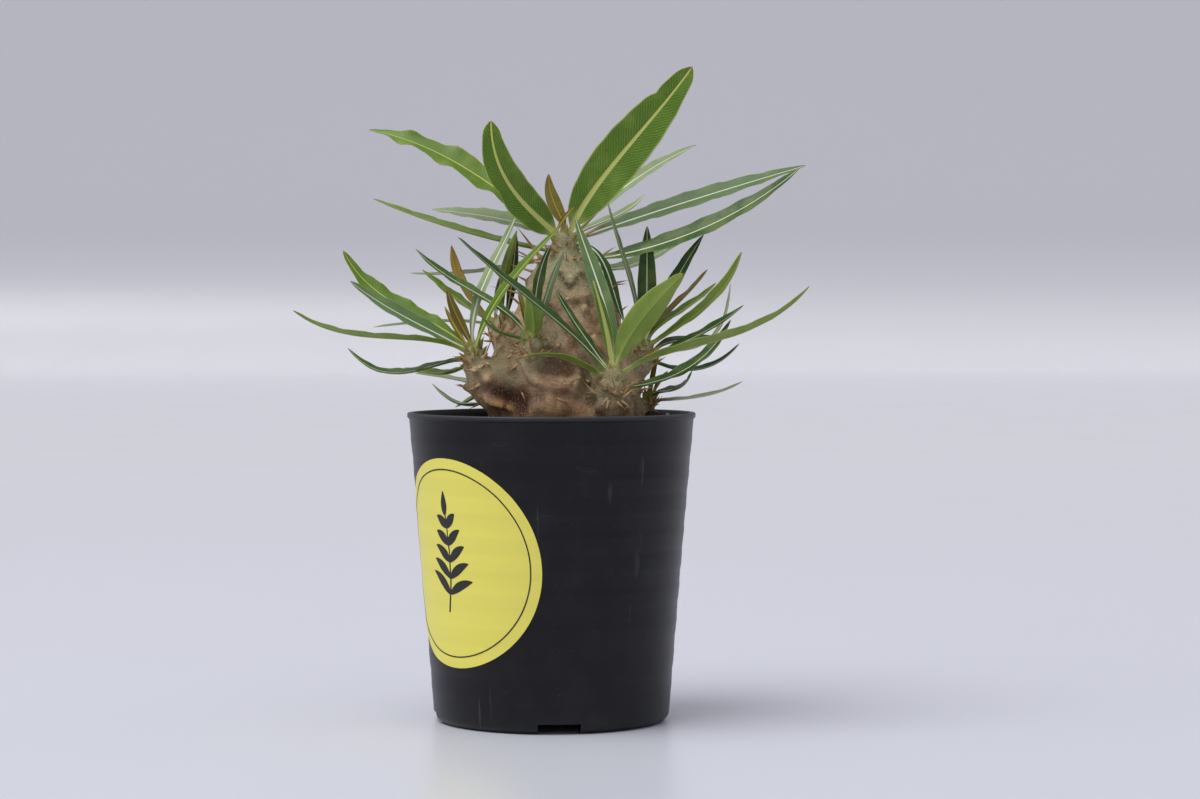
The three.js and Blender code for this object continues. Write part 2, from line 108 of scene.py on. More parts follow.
class PotSettings(bpy.types.PropertyGroup):
    ring_pitch: length("Ring pitch", "Height between two moulding rings on the wall", 9.4)
    ring_depth: length("Ring depth", "How far a moulding ring stands out", 0.08)
    plastic: colour("Plastic", "Colour of the clean plastic", (7, 7, 15))
    dust: colour("Dust", "Colour of the dust and of the scuffs", (150, 152, 158))
    dustiness: share("Dustiness", "How dusty the wall is", 0.26)
    roughness: share("Roughness", "Roughness of the clean plastic", 0.36)


class LabelSettings(bpy.types.PropertyGroup):
    thickness: length("Thickness", "Thickness of the paper", 0.14)
    gap: length("Gap", "Glue between the paper and the wall", 0.05)
    paper: colour("Paper", "Colour of the label", (236, 226, 96))
    ink: colour("Ink", "Colour of the print", (38, 38, 36))
    ring_radius: length("Ring radius", "Radius of the printed ring", 28.6)
    ring_width: length("Ring width", "Width of the printed ring's line", 0.4)


class SoilSettings(bpy.types.PropertyGroup):
    grains: count("Grains", "How many loose grains lie on the soil", 900)
    smallest: length("Smallest grain", "Radius of the smallest grain", 0.35)
    largest: length("Largest grain", "Radius of the largest grain", 1.5)
    clod: length("Clods", "How far the surface rises and falls", 0.8)
    dark: colour("Dark soil", "Colour of the soil", (38, 31, 27))
    light: colour("Light soil", "Colour of its dry crumbs", (92, 80, 68))


class BarkSettings(bpy.types.PropertyGroup):
    voxel: length("Detail", "Size of the caudex's mesh cells", 0.5)
    spacing: length("Tubercle spacing", "Least distance between neighbouring tubercles", 6.6)
    tubercle: length("Tubercle height", "How far a tubercle stands out", 1.3)
    beige: colour("Bark", "Colour of the dry bark", (208, 180, 146))
    # The colour of the hollows is painted shade
    hollow_shade: colour("Hollows", "Colour of hollows and of the foot", (88, 52, 32))
    green: colour("Young bark", "Colour of the bark near the crowns", (144, 146, 108))
    speck: colour("Specks", "Colour of the fine specks", (232, 224, 198))


class SpineSettings(bpy.types.PropertyGroup):
    around_crown: count("Spines at a crown", "How many spines stand round each crown", 24)
    shortest: length("Shortest", "Length of the shortest spines", 2.4)
    longest: length("Longest", "Length of the longest spines", 6.4)
    root_radius: length("Root radius", "Radius of a spine where it leaves the bark", 0.34)
    root: colour("Root", "Colour at the foot of a spine", (200, 172, 128))
    tip: colour("Tip", "Colour of a spine's point", (150, 102, 64))


class LeafSettings(bpy.types.PropertyGroup):
    thickness: length("Thickness", "Thickness of a blade beside its midrib", 0.32)
    wave: length("Wave", "How far the margins wave", 0.22)
    root: length("Root", "How far a leaf's foot reaches into its crown", 1.6)
    rings: count("Rings", "Mesh rings along a leaf", 46)
    fold: share("Fold", "How far a blade is folded, as a share of the CAD's", 0.55)
    wax: share("Wax", "How strong the waxy shine is", 0.06)


class StageSettings(bpy.types.PropertyGroup):
    focal_length: number("Focal length", "Camera lens in millimetres", 85.0)
    backdrop: colour("Backdrop", "Colour of the floor", (232, 232, 237))
    wall: colour("Wall", "Colour of the wall behind", (213, 213, 219))
    daylight: number("Daylight", "Strength of the soft light from above, on the left", 1.55)
    key_power: number("Key light", "Power of the lamp above, in watts", 3.0)
    sky: number("Sky", "Strength of the light from all round", 0.62)


class PlantSettings(bpy.types.PropertyGroup):
    pot: PointerProperty(type=PotSettings)
    label: PointerProperty(type=LabelSettings)
    soil: PointerProperty(type=SoilSettings)
    bark: PointerProperty(type=BarkSettings)
    spines: PointerProperty(type=SpineSettings)
    leaves: PointerProperty(type=LeafSettings)
    stage: PointerProperty(type=StageSettings)


# Shader maths


class Field:
    """A value that changes over a surface. Python's operators on it add Math nodes."""

    def __init__(self, finish, socket):
        self.finish = finish
        self.socket = socket

    def math(self, operation, *values):
        return self.finish.add("ShaderNodeMath", {"operation": operation}, dict(enumerate(values)))

    def __add__(self, other):
        return self.math("ADD", self, other)

    def __radd__(self, other):
        return self.math("ADD", other, self)

    def __sub__(self, other):
        return self.math("SUBTRACT", self, other)

    def __rsub__(self, other):
        return self.math("SUBTRACT", other, self)

    def __mul__(self, other):
        return self.math("MULTIPLY", self, other)

    def __rmul__(self, other):
        return self.math("MULTIPLY", other, self)

    def __truediv__(self, other):
        return self.math("DIVIDE", self, other)

    def __rtruediv__(self, other):
        return self.math("DIVIDE", other, self)

    def __neg__(self):
        return self.math("MULTIPLY", self, -1.0)

    def __abs__(self):
        return self.math("ABSOLUTE", self)

    def sine(self):
        return self.math("SINE", self)

    def most(self, other):
        return self.math("MAXIMUM", self, other)

    def least(self, other):
        return self.math("MINIMUM", self, other)


class Finish:
    """A material whose node tree is written as expressions."""

    def __init__(self, name, **constants):
        self.material = bpy.data.materials.new(name)
        self.material.use_nodes = True
        self.tree = self.material.node_tree
        self.surface = next(n for n in self.tree.nodes if n.type == "BSDF_PRINCIPLED")
        self.output(**constants)

    def add(self, kind, settings=None, inputs=None, output=0):
        """An output of a new node, its settings made before its sockets are fed."""
        node = self.tree.nodes.new(kind)
        for key, value in (settings or {}).items():
            setattr(node, key, value)
        for key, value in (inputs or {}).items():
            self.feed(node.inputs[key], value)
        return Field(self, node.outputs[output])

    def feed(self, socket, value):
        if isinstance(value, Field):
            self.tree.links.new(value.socket, socket)
        elif socket.type == "RGBA":
            socket.default_value = (*value[:3], 1.0)
        else:
            socket.default_value = value

    def output(self, **links):
        """Feeds the surface's sockets: Base_Color, Roughness, Normal and so on."""
        for key, value in links.items():
            self.feed(self.surface.inputs[key.replace("_", " ")], value)
        return self.material

    def place(self):
        """The point on the object, in millimetres."""
        here = self.add("ShaderNodeTexCoord", output="Object")
        return self.add(
            "ShaderNodeVectorMath", {"operation": "SCALE"}, {0: here, "Scale": 1 / MM}
        )

    def axes(self, vector):
        node = self.add("ShaderNodeSeparateXYZ", inputs={0: vector}).socket.node
        return [Field(self, socket) for socket in node.outputs]

    def attribute(self, name, output="Vector"):
        return self.add("ShaderNodeAttribute", {"attribute_name": name}, output=output)

    def stretch(self, vector, factors):
        return self.add(
            "ShaderNodeVectorMath", {"operation": "MULTIPLY"}, {0: vector, 1: factors}
        )

    def noise(self, vector, size, detail=3.0, roughness=0.55, distortion=0.0):
        """Noise from 0 to 1 whose features are about size millimetres across."""
        return self.add(
            "ShaderNodeTexNoise",
            inputs={
                "Vector": vector, "Scale": 1 / size, "Detail": detail,
                "Roughness": roughness, "Distortion": distortion,
            },
        )

    def cells(self, vector, size, feature="F1"):
        """Distance from the nearest centre or edge of cells about size millimetres across."""
        return self.add(
            "ShaderNodeTexVoronoi", {"feature": feature},
            {"Vector": vector, "Scale": 1 / size}, output="Distance",
        )

    def dots(self, vector, size, low, high):
        """1 within low of the centre of a cell, 0 beyond high of it."""
        return 1 - self.step(self.cells(vector, size), low, high)

    def patches(self, vector, size, low, high, detail=3.0, roughness=0.55):
        """1 where noise is above high, 0 where it is below low."""
        return self.step(self.noise(vector, size, detail, roughness), low, high)

    def step(self, value, low, high):
        """0 below low and 1 above high, smooth in between."""
        return self.add(
            "ShaderNodeMapRange", {"interpolation_type": "SMOOTHSTEP"},
            {"Value": value, "From Min": low, "From Max": high},
        )

    def mix(self, factor, first, second):
        return self.add(
            "ShaderNodeMix", {"data_type": "RGBA"}, {0: factor, 6: first, 7: second}, output=2
        )

    def layers(self, base, *coats):
        """base under coats, each given as (factor, colour)."""
        for factor, tone in coats:
            base = self.mix(factor, base, tone)
        return base

    def bump(self, height, depth, strength=1.0):
        """depth is in millimetres for a height of 1."""
        inputs = {"Height": height, "Distance": depth * MM, "Strength": strength}
        return self.add("ShaderNodeBump", inputs=inputs)


# Mesh helpers


def linked(name, data):
    """A new object in the scene."""
    made = bpy.data.objects.new(name, data)
    bpy.context.scene.collection.objects.link(made)
    return made


def new_mesh(name, points, faces, smooth=True):
    """A mesh from points in millimetres."""
    mesh = bpy.data.meshes.new(name)
    mesh.from_pydata(np.asarray(points, float) * MM, [], faces)
    shade(mesh, smooth)
    mesh.update()
    return mesh


def shade(mesh, smooth=True):
    """Shades all of a mesh's faces smooth, or flat."""
    mesh.polygons.foreach_set("use_smooth", [smooth] * len(mesh.polygons))


def mesh_piece(name, points, faces, material, smooth=True, attributes=None):
    """An object from points in millimetres, at the origin and riding on the frame's only body."""
    mesh = new_mesh(name, points, faces, smooth)
    for key, values in (attributes or {}).items():
        add_attribute(mesh, key, values)
    return piece(name, mesh, material)


def piece(name, mesh, material):
    mesh.materials.clear()
    mesh.materials.append(material)
    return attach(linked(name, mesh), "root")


def add_attribute(mesh, key, values):
    values = np.asarray(values, np.float32)
    kind, field = ("FLOAT_VECTOR", "vector") if values.ndim == 2 else ("FLOAT", "value")
    mesh.attributes.new(key, kind, "POINT").data.foreach_set(field, values.ravel())


def evaluated(name, mesh, modifiers):
    """mesh with modifiers applied, each given as (type, values)."""
    work = linked(name, mesh)
    for kind, values in modifiers:
        modifier = work.modifiers.new(kind, kind)
        for key, value in values.items():
            setattr(modifier, key, value)
    graph = bpy.context.evaluated_depsgraph_get()
    made = bpy.data.meshes.new_from_object(work.evaluated_get(graph))
    bpy.data.objects.remove(work)
    return made


def points_of(mesh):
    """A mesh's vertices in millimetres, as rows."""
    flat = np.zeros(len(mesh.vertices) * 3, np.float32)
    mesh.vertices.foreach_get("co", flat)
    return flat.reshape(-1, 3).astype(float) / MM


def set_points(mesh, points):
    mesh.vertices.foreach_set("co", (points * MM).astype(np.float32).ravel())
    mesh.update()


def welded(node):
    """(points in millimetres, triangles) of a CAD node, its corners shared."""
    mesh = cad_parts[node].data
    mesh.calc_loop_triangles()
    points = points_of(mesh)
    keys, index = np.unique(np.round(points, 3), axis=0, return_inverse=True)
    triangles = index.ravel()[[list(t.vertices) for t in mesh.loop_triangles]]
    return keys, [tuple(map(int, t)) for t in triangles if len(set(map(int, t))) == 3]


def grid_faces(rows, columns, closed=True, first=0):
    """Quads of a grid of points: rows x columns, its columns joined into rings if closed."""
    faces = []
    for i in range(rows - 1):
        for j in range(columns if closed else columns - 1):
            k = (j + 1) % columns
            faces.append((
                first + i * columns + j, first + i * columns + k,
                first + (i + 1) * columns + k, first + (i + 1) * columns + j,
            ))
    return faces


def clamped(value):
    return min(1.0, max(0.0, value))


def unit(vectors):
    return vectors / np.linalg.norm(vectors, axis=-1, keepdims=True)


def settings():
    return bpy.context.scene.plant


def rounded_noise(point, size, seed):
    """Noise from -1 to 1 at a point in millimetres."""
    return noise.noise(Vector(point) / size + Vector((seed, 2.3 * seed, -1.7 * seed)))


# The photograph's camera


def ray_through(px, py):
    """The unit direction from the camera through a pixel of the photograph."""
    focal = settings().stage.focal_length / SENSOR_WIDTH * PHOTO_WIDTH
    right = (px - PHOTO_CENTRE[0]) / focal
    up = (PHOTO_CENTRE[1] - py) / focal
    sine, cosine = math.sin(CAMERA_PITCH), math.cos(CAMERA_PITCH)
    return Vector((right, cosine + up * sine, up * cosine - sine)).normalized()


def lift(px, py, depth):
    """The point behind a pixel whose Y is depth."""
    ray = ray_through(px, py)
    return CAMERA_PLACE + ray * ((depth - CAMERA_PLACE.y) / ray.y)


# Pot: a lathed wall with faint moulding rings, a lip, a foot with notches, and drain holes

POT_HEIGHT = 96.0
POT_WALL = 1.2
POT_SIDES = 224
FOOT_RADIUS = 36.65     # the wall's radius at its foot,
WALL_SLOPE = 0.074      # how it grows with the height
WALL_CURVE = 0.00009    # and with the height's square
LIP_RADIUS = 45.0
LIP_HEIGHT = 1.7
LIP_EDGE = 0.45
LIP_FILLET = 0.25
RIM_EDGE = 0.35
FOOT_CORNER = 3.0
FOOT_RECESS = 3.2
FOOT_RING_INNER = 29.0
PAD_RADIUS = 9.0
FLOOR_TOP = 4.4
NOTCHES = 4
NOTCH_WIDTH = 13.0
NOTCH_REACH = 14.0
NOTCH_TURN = math.radians(4.6)
DRAIN_RADIUS = 4.0
DRAIN_PLACE = 19.0
DRAIN_DEPTH = 14.0
LOWEST_RING, HIGHEST_RING = 5.0, 93.0


def wall_radius(height):
    """The wall's plain outline, as in the CAD."""
    return FOOT_RADIUS + WALL_SLOPE * height + WALL_CURVE * height**2


def ring_relief(height):
    """How far the moulding rings stand off the plain wall at a height."""
    pot = settings().pot
    turn = 2 * math.pi * height / (pot.ring_pitch / MM)
    fade = clamped((height - LOWEST_RING) / 8) * clamped((HIGHEST_RING - height) / 5)
    wave = math.sin(turn + 0.8 * math.sin(0.11 * height)) + 0.35 * math.sin(2.7 * turn + 1.0)
    return pot.ring_depth / MM * fade * wave


def arc(centre, radius, start, end, steps):
    """Points of a rounded corner, angles in degrees from the outward direction."""
    angles = np.radians(np.linspace(start, end, steps))
    return [(centre[0] + radius * math.cos(a), centre[1] + radius * math.sin(a)) for a in angles]


def pot_profile():
    """Points (radius, height): the underside from its middle, the wall, the lip and the floor."""
    lip_bottom = POT_HEIGHT - LIP_HEIGHT
    inner = wall_radius(POT_HEIGHT) - POT_WALL
    bottom = wall_radius(FLOOR_TOP) - POT_WALL - FOOT_CORNER
    foot = (wall_radius(FOOT_CORNER) - FOOT_CORNER, FOOT_CORNER)
    lip = LIP_RADIUS - LIP_EDGE
    profile = [(0.0, 0.0), (PAD_RADIUS, 0.0), (PAD_RADIUS + 0.5, 1.2)]
    recess = np.linspace(14, FOOT_RING_INNER - 1, 6)
    profile += [(r, FOOT_RECESS) for r in (PAD_RADIUS + 1, *recess)]
    profile += [(FOOT_RING_INNER - 0.2, 0.3)]
    profile += [(r, 0.0) for r in (FOOT_RING_INNER + 0.3, 30.0, 31.5, 33.0)]
    profile += arc(foot, FOOT_CORNER, -90, 0, 9)
    heights = np.linspace(FOOT_CORNER, lip_bottom, 120)[1:-1]
    profile += [(wall_radius(z) + ring_relief(z), z) for z in heights]
    profile += arc((wall_radius(lip_bottom) + LIP_FILLET, lip_bottom - 0.3), LIP_FILLET, 180, 90, 4)
    profile += arc((lip, lip_bottom + LIP_EDGE), LIP_EDGE, -90, 0, 5)
    profile += arc((lip, POT_HEIGHT - LIP_EDGE), LIP_EDGE, 0, 90, 5)
    profile += arc((inner + RIM_EDGE, POT_HEIGHT - RIM_EDGE), RIM_EDGE, 90, 180, 4)
    profile += [(wall_radius(z) - POT_WALL, z) for z in np.linspace(POT_HEIGHT - 1.5, 8, 24)]
    profile += [(bottom + 1.8, FLOOR_TOP + 0.8)]
    return profile + [(r, FLOOR_TOP) for r in (bottom, 20.0, 0.0)]


def lathe(profile, sides):
    """(points, faces) of a profile of (radius, height) turned about +Z, closed at both ends."""
    points, faces, rings = [], [], []
    for radius, height in profile:
        ring = []
        for j in range(1 if radius < 1e-6 else sides):
            angle = 2 * math.pi * j / sides
            ring.append(len(points))
            points.append((radius * math.sin(angle), -radius * math.cos(angle), height))
        rings.append(ring)
    for low, high in zip(rings, rings[1:]):
        for j in range(sides):
            k = (j + 1) % sides
            if len(low) == 1:
                faces.append((low[0], high[k], high[j]))
            elif len(high) == 1:
                faces.append((low[j], low[k], high[0]))
            else:
                faces.append((low[j], low[k], high[k], high[j]))
    return points, faces


def foot_cutter():
    """What is cut from the pot: the foot ring's notches and the drain holes between them."""
    bm = bmesh.new()
    size = Matrix.Diagonal((NOTCH_WIDTH * MM, NOTCH_REACH * MM, 2 * FOOT_RECESS * MM, 1))
    notch = Matrix.Translation((0, -(FOOT_RING_INNER + FOOT_RADIUS) / 2 * MM, 0)) @ size
    hole = Matrix.Translation((0, -DRAIN_PLACE * MM, 0))
    for i in range(NOTCHES):
        turn = Matrix.Rotation(NOTCH_TURN + i * 2 * math.pi / NOTCHES, 4, "Z")
        bmesh.ops.create_cube(bm, size=1.0, matrix=turn @ notch)
        turn = Matrix.Rotation(NOTCH_TURN + (i + 0.5) * 2 * math.pi / NOTCHES, 4, "Z")
        bmesh.ops.create_cone(
            bm, cap_ends=True, segments=40, radius1=DRAIN_RADIUS * MM,
            radius2=DRAIN_RADIUS * MM, depth=DRAIN_DEPTH * MM, matrix=turn @ hole,
        )
    mesh = bpy.data.meshes.new("pot_cutter")
    bm.to_mesh(mesh)
    bm.free()
    return linked("pot_cutter", mesh)


# Pale upright scuffs on the pot's wall: azimuth, height, half width and half height of the mark
SCUFFS = [
    (0.70, 79.5, 0.9, 4.6), (0.70, 51.0, 1.1, 4.4), (0.44, 73.0, 0.8, 3.2), (-0.61, 5.5, 0.5, 5.0),
    (1.05, 60.0, 0.6, 2.4), (-0.08, 64.0, 0.25, 6.0), (0.66, 36.0, 0.5, 3.0), (-0.5, 9.0, 0.3, 5.0),
    (2.4, 60.0, 0.9, 7.0), (3.0, 30.0, 0.6, 5.0), (-2.2, 74.0, 0.7, 4.0), (1.6, 40.0, 0.6, 5.0),
]
WRAP_RADIUS = 40.0    # turns an azimuth into millimetres round the wall


def plastic_finish():
    """Black plastic with dust on its foot, a pale band on its lip that is partly dust and partly a
    painted highlight, dragged streaks, specks and scuffs.
    """
    pot = settings().pot
    f = Finish("pot_plastic", Specular_IOR_Level=0.28)
    here = f.place()
    x, y, z = f.axes(here)
    around = x.math("ARCTAN2", x, -y) * WRAP_RADIUS
    wrapped = f.add("ShaderNodeCombineXYZ", inputs={0: around, 1: z, 2: 0.0})
    cloud = f.noise(here, 14.0, 5.0, 0.6)
    grain = f.noise(here, 0.45, 3.0, 0.6)
    drag = f.noise(f.stretch(wrapped, (1.0, 0.06, 1.0)), 0.8, 4.0, 0.7)
    streaks = f.step(drag, 0.6, 0.8) * f.step(cloud, 0.4, 0.7)
    specks = f.dots(here, 1.9, 0.04, 0.1) * f.patches(here, 4.0, 0.42, 0.6, 2.0)
    bent = around + (f.noise(wrapped, 5.0, 2.0) - 0.5) * 0.8
    marks = 0.0
    for place, height, wide, tall in SCUFFS:
        sideways, upright = (bent - place * WRAP_RADIUS) / wide, (z - height) / tall
        mark = 1 - f.step(sideways * sideways + upright * upright, 0.0, 1.6)
        marks = mark.most(marks)
    marks = marks * f.step(drag, 0.38, 0.6)
    arcs = 1 - f.step(abs(f.cells(f.stretch(here, (1, 1, 0.7)), 17.0) - 0.46), 0.0, 0.006)
    arcs = arcs * f.patches(here, 7.0, 0.52, 0.68, 2.0)
    foot = (1 - f.step(z, 0.0, 9.0)) * cloud
    # The band from 94.4 to 95.8 mm at the lip's top is partly dust and partly a painted highlight
    film_and_lip_highlight = f.step(cloud, 0.35, 0.9) * 0.1 + f.step(z, 94.4, 95.8) * 0.5 + foot * 0.16
    dust = (film_and_lip_highlight + streaks * 0.1 + specks * 0.5 + marks * 0.3 + arcs * 0.2) * pot.dustiness
    height = grain * 0.5 + f.noise(here, 3.0, 3.0) * 0.5
    return f.output(
        Base_Color=f.mix(dust.least(1.0), pot.plastic, pot.dust),
        Roughness=pot.roughness + dust * 0.5 + grain * 0.1 - 0.05,
        Normal=f.bump(height + marks * 0.4, 0.06, 0.5),
    )


def build_pot():
    """The lathed pot, its notches and drain holes cut out."""
    tool = foot_cutter()
    cut = evaluated("pot_work", new_mesh("pot_work", *lathe(pot_profile(), POT_SIDES)), [
        ("BOOLEAN", {"operation": "DIFFERENCE", "solver": "EXACT", "object": tool})
    ])
    bpy.data.objects.remove(tool)
    shade(cut)
    cut.set_sharp_from_angle(angle=math.radians(38))
    cut.name = "pot_body"
    made = piece("pot_body", cut, plastic_finish())
    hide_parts("pot")


# Label: a paper disc wrapped on the wall, with a plain printed ring and a leafy sprig

LABEL_RADIUS = 32.0
LABEL_HEIGHT = 51.0
LABEL_AZIMUTH = math.radians(48.2)
LABEL_RINGS, LABEL_SIDES = 40, 160
RING_CLEARANCE = 0.03    # keeps the paper off the moulding rings
SPRIG_STEM = [(-1.5, -15.0), (0.8, -6.0), (0.6, 4.0), (-0.6, 14.5)]
SPRIG_TIP = [(-0.6, 14.5), (-0.9, 17.0), (-1.1, 19.0), (-1.2, 22.0)]
SPRIG_PAIRS = 5


def on_wall(across, up, off):
    """A flat disc's point wrapped round the pot's wall, off millimetres from it."""
    height = LABEL_HEIGHT + up
    wall = wall_radius(height)
    azimuth = LABEL_AZIMUTH - across / wall
    radius = wall + 0.8 * ring_relief(height) + off
    return (-radius * math.sin(azimuth), -radius * math.cos(azimuth), height)


def build_label():
    """The paper, a closed disc of two faces wrapped on the wall, and its print."""
    label = settings().label
    rings, sides = LABEL_RINGS, LABEL_SIDES
    gap = label.gap / MM + RING_CLEARANCE
    surface = gap + label.thickness / MM

    def face(off):
        return [
            on_wall(r * math.cos(a), r * math.sin(a), off)
            for r in LABEL_RADIUS * np.linspace(1 / rings, 1, rings)
            for a in np.linspace(0, 2 * math.pi, sides, endpoint=False)
        ]

    total = rings * sides
    points = face(gap) + face(surface) + [on_wall(0, 0, gap), on_wall(0, 0, surface)]
    faces = [tuple(reversed(q)) for q in grid_faces(rings, sides)]
    faces += grid_faces(rings, sides, first=total)
    low, high = total - sides, 2 * total - sides
    for j in range(sides):
        k = (j + 1) % sides
        faces.append((2 * total, k, j))
        faces.append((2 * total + 1, total + j, total + k))
        faces.append((low + j, low + k, high + k, high + j))
    made = mesh_piece("label_paper", points, faces, paper_finish())
    made.data.set_sharp_from_angle(angle=math.radians(50))
    tidy_normals(made.data)
    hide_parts("label")
    build_print(surface)


def tidy_normals(mesh):
    """Turns all faces outwards."""
    bm = bmesh.new()
    bm.from_mesh(mesh)
    bmesh.ops.recalc_face_normals(bm, faces=bm.faces)
    bm.to_mesh(mesh)
    bm.free()


def ribbon(points, faces, left, right, low, high):
    """Adds a closed strip between two lines on the label, from low to high off the wall."""
    first, columns = len(points), 10
    shares = np.linspace(0, 1, columns // 2)
    for a, b in zip(np.asarray(left), np.asarray(right)):
        points += [on_wall(*(a + (b - a) * t), low) for t in shares]
        points += [on_wall(*(a + (b - a) * t), high) for t in shares[::-1]]
    faces += grid_faces(len(left), columns, first=first)
    last = first + columns * (len(left) - 1)
    faces += [tuple(range(first, first + columns)), tuple(reversed(range(last, last + columns)))]


def bezier(controls, steps):
    """Points and tangents of a cubic curve at steps places."""
    t = np.asarray(steps, float)[:, None]
    a, b, c, d = (np.asarray(p, float) for p in controls)
    u = 1 - t
    place = u**3 * a + 3 * u**2 * t * b + 3 * u * t**2 * c + t**3 * d
    slope = 3 * (u**2 * (b - a) + 2 * u * t * (c - b) + t**2 * (d - c))
    return place, unit(slope)


def build_print(surface):
    """A plain ring and a leafy sprig, printed on the paper."""
    label = settings().label
    points, faces = [], []
    low, high = surface + 0.01, surface + 0.08
    radius, half = label.ring_radius / MM, label.ring_width / MM / 2
    turns = np.linspace(0, 2 * math.pi, 181)
    circle = np.stack([np.cos(turns), np.sin(turns)], 1)
    ribbon(points, faces, circle * (radius - half), circle * (radius + half), low, high)
    steps = np.linspace(0, 1, 30)
    leaf = np.sin(math.pi * steps**0.85) ** 0.8

    def stroke(controls, halves):
        centre, slope = bezier(controls, steps)
        side = np.stack([-slope[:, 1], slope[:, 0]], 1) * halves[:, None]
        ribbon(points, faces, centre - side, centre + side, low, high)

    stroke(SPRIG_STEM, 0.32 - 0.12 * steps)
    for i in range(SPRIG_PAIRS):
        (root,), (way,) = bezier(SPRIG_STEM, [0.2 + 0.17 * i])
        reach = 10.5 - 1.15 * i
        for side in (-1, 1):
            angle = math.radians(side * (58 - 3 * i))
            cosine, sine = math.cos(angle), math.sin(angle)
            heading = np.array([[cosine, -sine], [sine, cosine]]) @ way
            bend = np.array([-heading[1], heading[0]]) * side * reach
            stroke([
                root, root + heading * reach * 0.35 - bend * 0.08,
                root + heading * reach * 0.7 - bend * 0.1, root + heading * reach,
            ], 0.06 + 1.35 * leaf)
    stroke(SPRIG_TIP, 0.06 + 1.2 * leaf)
    tidy_normals(mesh_piece("label_print", points, faces, ink_finish(), smooth=False).data)


def ink_finish():
    label = settings().label
    f = Finish("label_ink", Specular_IOR_Level=0.4)
    here = f.place()
    worn = f.patches(here, 0.5, 0.62, 0.75, 4.0, 0.7)
    return f.output(
        Base_Color=f.mix(worn * 0.5, label.ink, rgb(120, 116, 70)),
        Roughness=0.42 + f.noise(here, 1.0) * 0.2,
        Normal=f.bump(f.noise(here, 0.3), 0.02, 0.4),
    )


def paper_finish():
    """Yellow paper with a faint fibre and a few specks."""
    label = settings().label
    f = Finish("label_paper", Specular_IOR_Level=0.4, Coat_Weight=0.15, Coat_Roughness=0.25)
    here = f.place()
    fibre = f.noise(f.stretch(here, (1.0, 1.0, 0.35)), 0.35, 4.0, 0.7)
    cloud = f.noise(here, 12.0, 4.0)
    specks = f.dots(here, 3.4, 0.02, 0.05) * f.patches(here, 6.0, 0.55, 0.65)
    return f.output(
        Base_Color=f.layers(
            label.paper, (cloud * 0.35, rgb(232, 224, 120)),
            (f.step(fibre, 0.62, 0.8) * 0.12, rgb(190, 178, 78)), (specks * 0.4, rgb(110, 100, 60)),
        ),
        Roughness=0.38 + fibre * 0.16,
        Normal=f.bump(fibre * 0.4 + f.noise(here, 4.0) * 0.6, 0.05, 0.35),
    )


# Soil and loose grains

SOIL_LEVEL = 88.5
SOIL_SWELL = 2.5
SOIL_BOTTOM = FLOOR_TOP + 0.3
SOIL_RINGS, SOIL_SIDES = 64, 220
MOUND = (30.0, 17.0, 7.5, 8.0)    # X, Y, height and reach of the mound under the low crown

# Below the top: heights of the bed's rings and how far each stays off the pot's inside
SOIL_FLANK = [
    (86.5, 0.1), (80.0, 0.1), (60.0, 0.1), (40.0, 0.1), (20.0, 0.1), (9.0, 0.1),
    (SOIL_BOTTOM + 0.9, 1.1), (SOIL_BOTTOM, 3.1),
]


def soil_height(x, y):
    """The bed's smooth top."""
    mx, my, rise, reach = MOUND
    mound = rise * math.exp(-((x - mx) ** 2 + (y - my) ** 2) / (2 * reach**2))
    return SOIL_LEVEL + SOIL_SWELL * (1 - (math.hypot(x, y) / LIP_RADIUS) ** 2) + mound


def soil_top(x, y):
    """The height of the crumbly surface."""
    edge = 1 - clamped((math.hypot(x, y) - 38) / 5) * 0.6
    rough = 0.9 * rounded_noise((x, y, 0), 4.5, 3) + 0.5 * rounded_noise((x, y, 0), 1.9, 5)
    rough += 0.35 * abs(rounded_noise((x, y, 0), 0.9, 8))
    return soil_height(x, y) + settings().soil.clod / MM * edge * rough - 0.3


def soil_finish():
    """Dark peat with dry crumbs and fine grit."""
    soil = settings().soil
    f = Finish("soil_crumb", Specular_IOR_Level=0.2)
    here = f.place()
    crumb = f.noise(here, 0.8, 5.0, 0.7)
    grit = f.dots(here, 1.5, 0.12, 0.22) * f.patches(here, 2.0, 0.52, 0.6)
    return f.output(
        Base_Color=f.layers(
            soil.dark, (f.step(crumb, 0.42, 0.7), soil.light),
            (f.patches(here, 5.0, 0.5, 0.75) * 0.5, rgb(66, 48, 36)),
            (grit * 0.8, rgb(168, 160, 150)),
        ),
        Roughness=0.85 + crumb * 0.12,
        Normal=f.bump(crumb * 0.6 + f.cells(here, 1.1) * 0.4, 0.5, 0.9),
    )


def build_soil():
    """The bed: a crumbly top, a flank just off the pot's inside and a flat bottom."""
    rings, sides = SOIL_RINGS, SOIL_SIDES
    angles = [2 * math.pi * j / sides for j in range(sides)]
    turns = [(math.cos(a), math.sin(a)) for a in angles]
    reach = wall_radius(SOIL_LEVEL) - POT_WALL - 0.05
    points = [(0.0, 0.0, soil_top(0, 0))]
    for i in range(1, rings + 1):
        around = [(reach * i / rings * c, reach * i / rings * s) for c, s in turns]
        points += [(x, y, soil_top(x, y)) for x, y in around]
    for z, off in SOIL_FLANK:
        radius = wall_radius(z) - POT_WALL - off
        points += [(radius * c, radius * s, z) for c, s in turns]
    points.append((0.0, 0.0, SOIL_BOTTOM))
    rows = rings + len(SOIL_FLANK)
    last = 1 + (rows - 1) * sides
    faces = [(0, 1 + j, 1 + (j + 1) % sides) for j in range(sides)]
    faces += grid_faces(rows, sides, first=1)
    faces += [(len(points) - 1, last + (j + 1) % sides, last + j) for j in range(sides)]
    made = mesh_piece("soil_bed", points, faces, soil_finish())
    tidy_normals(made.data)
    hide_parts("soil")
    build_grains()


# Kinds of grain: share of all and colour
GRAINS = [
    (0.3, rgb(188, 184, 176)), (0.28, rgb(52, 46, 44)), (0.24, rgb(128, 92, 62)),
    (0.18, rgb(96, 88, 80)),
]


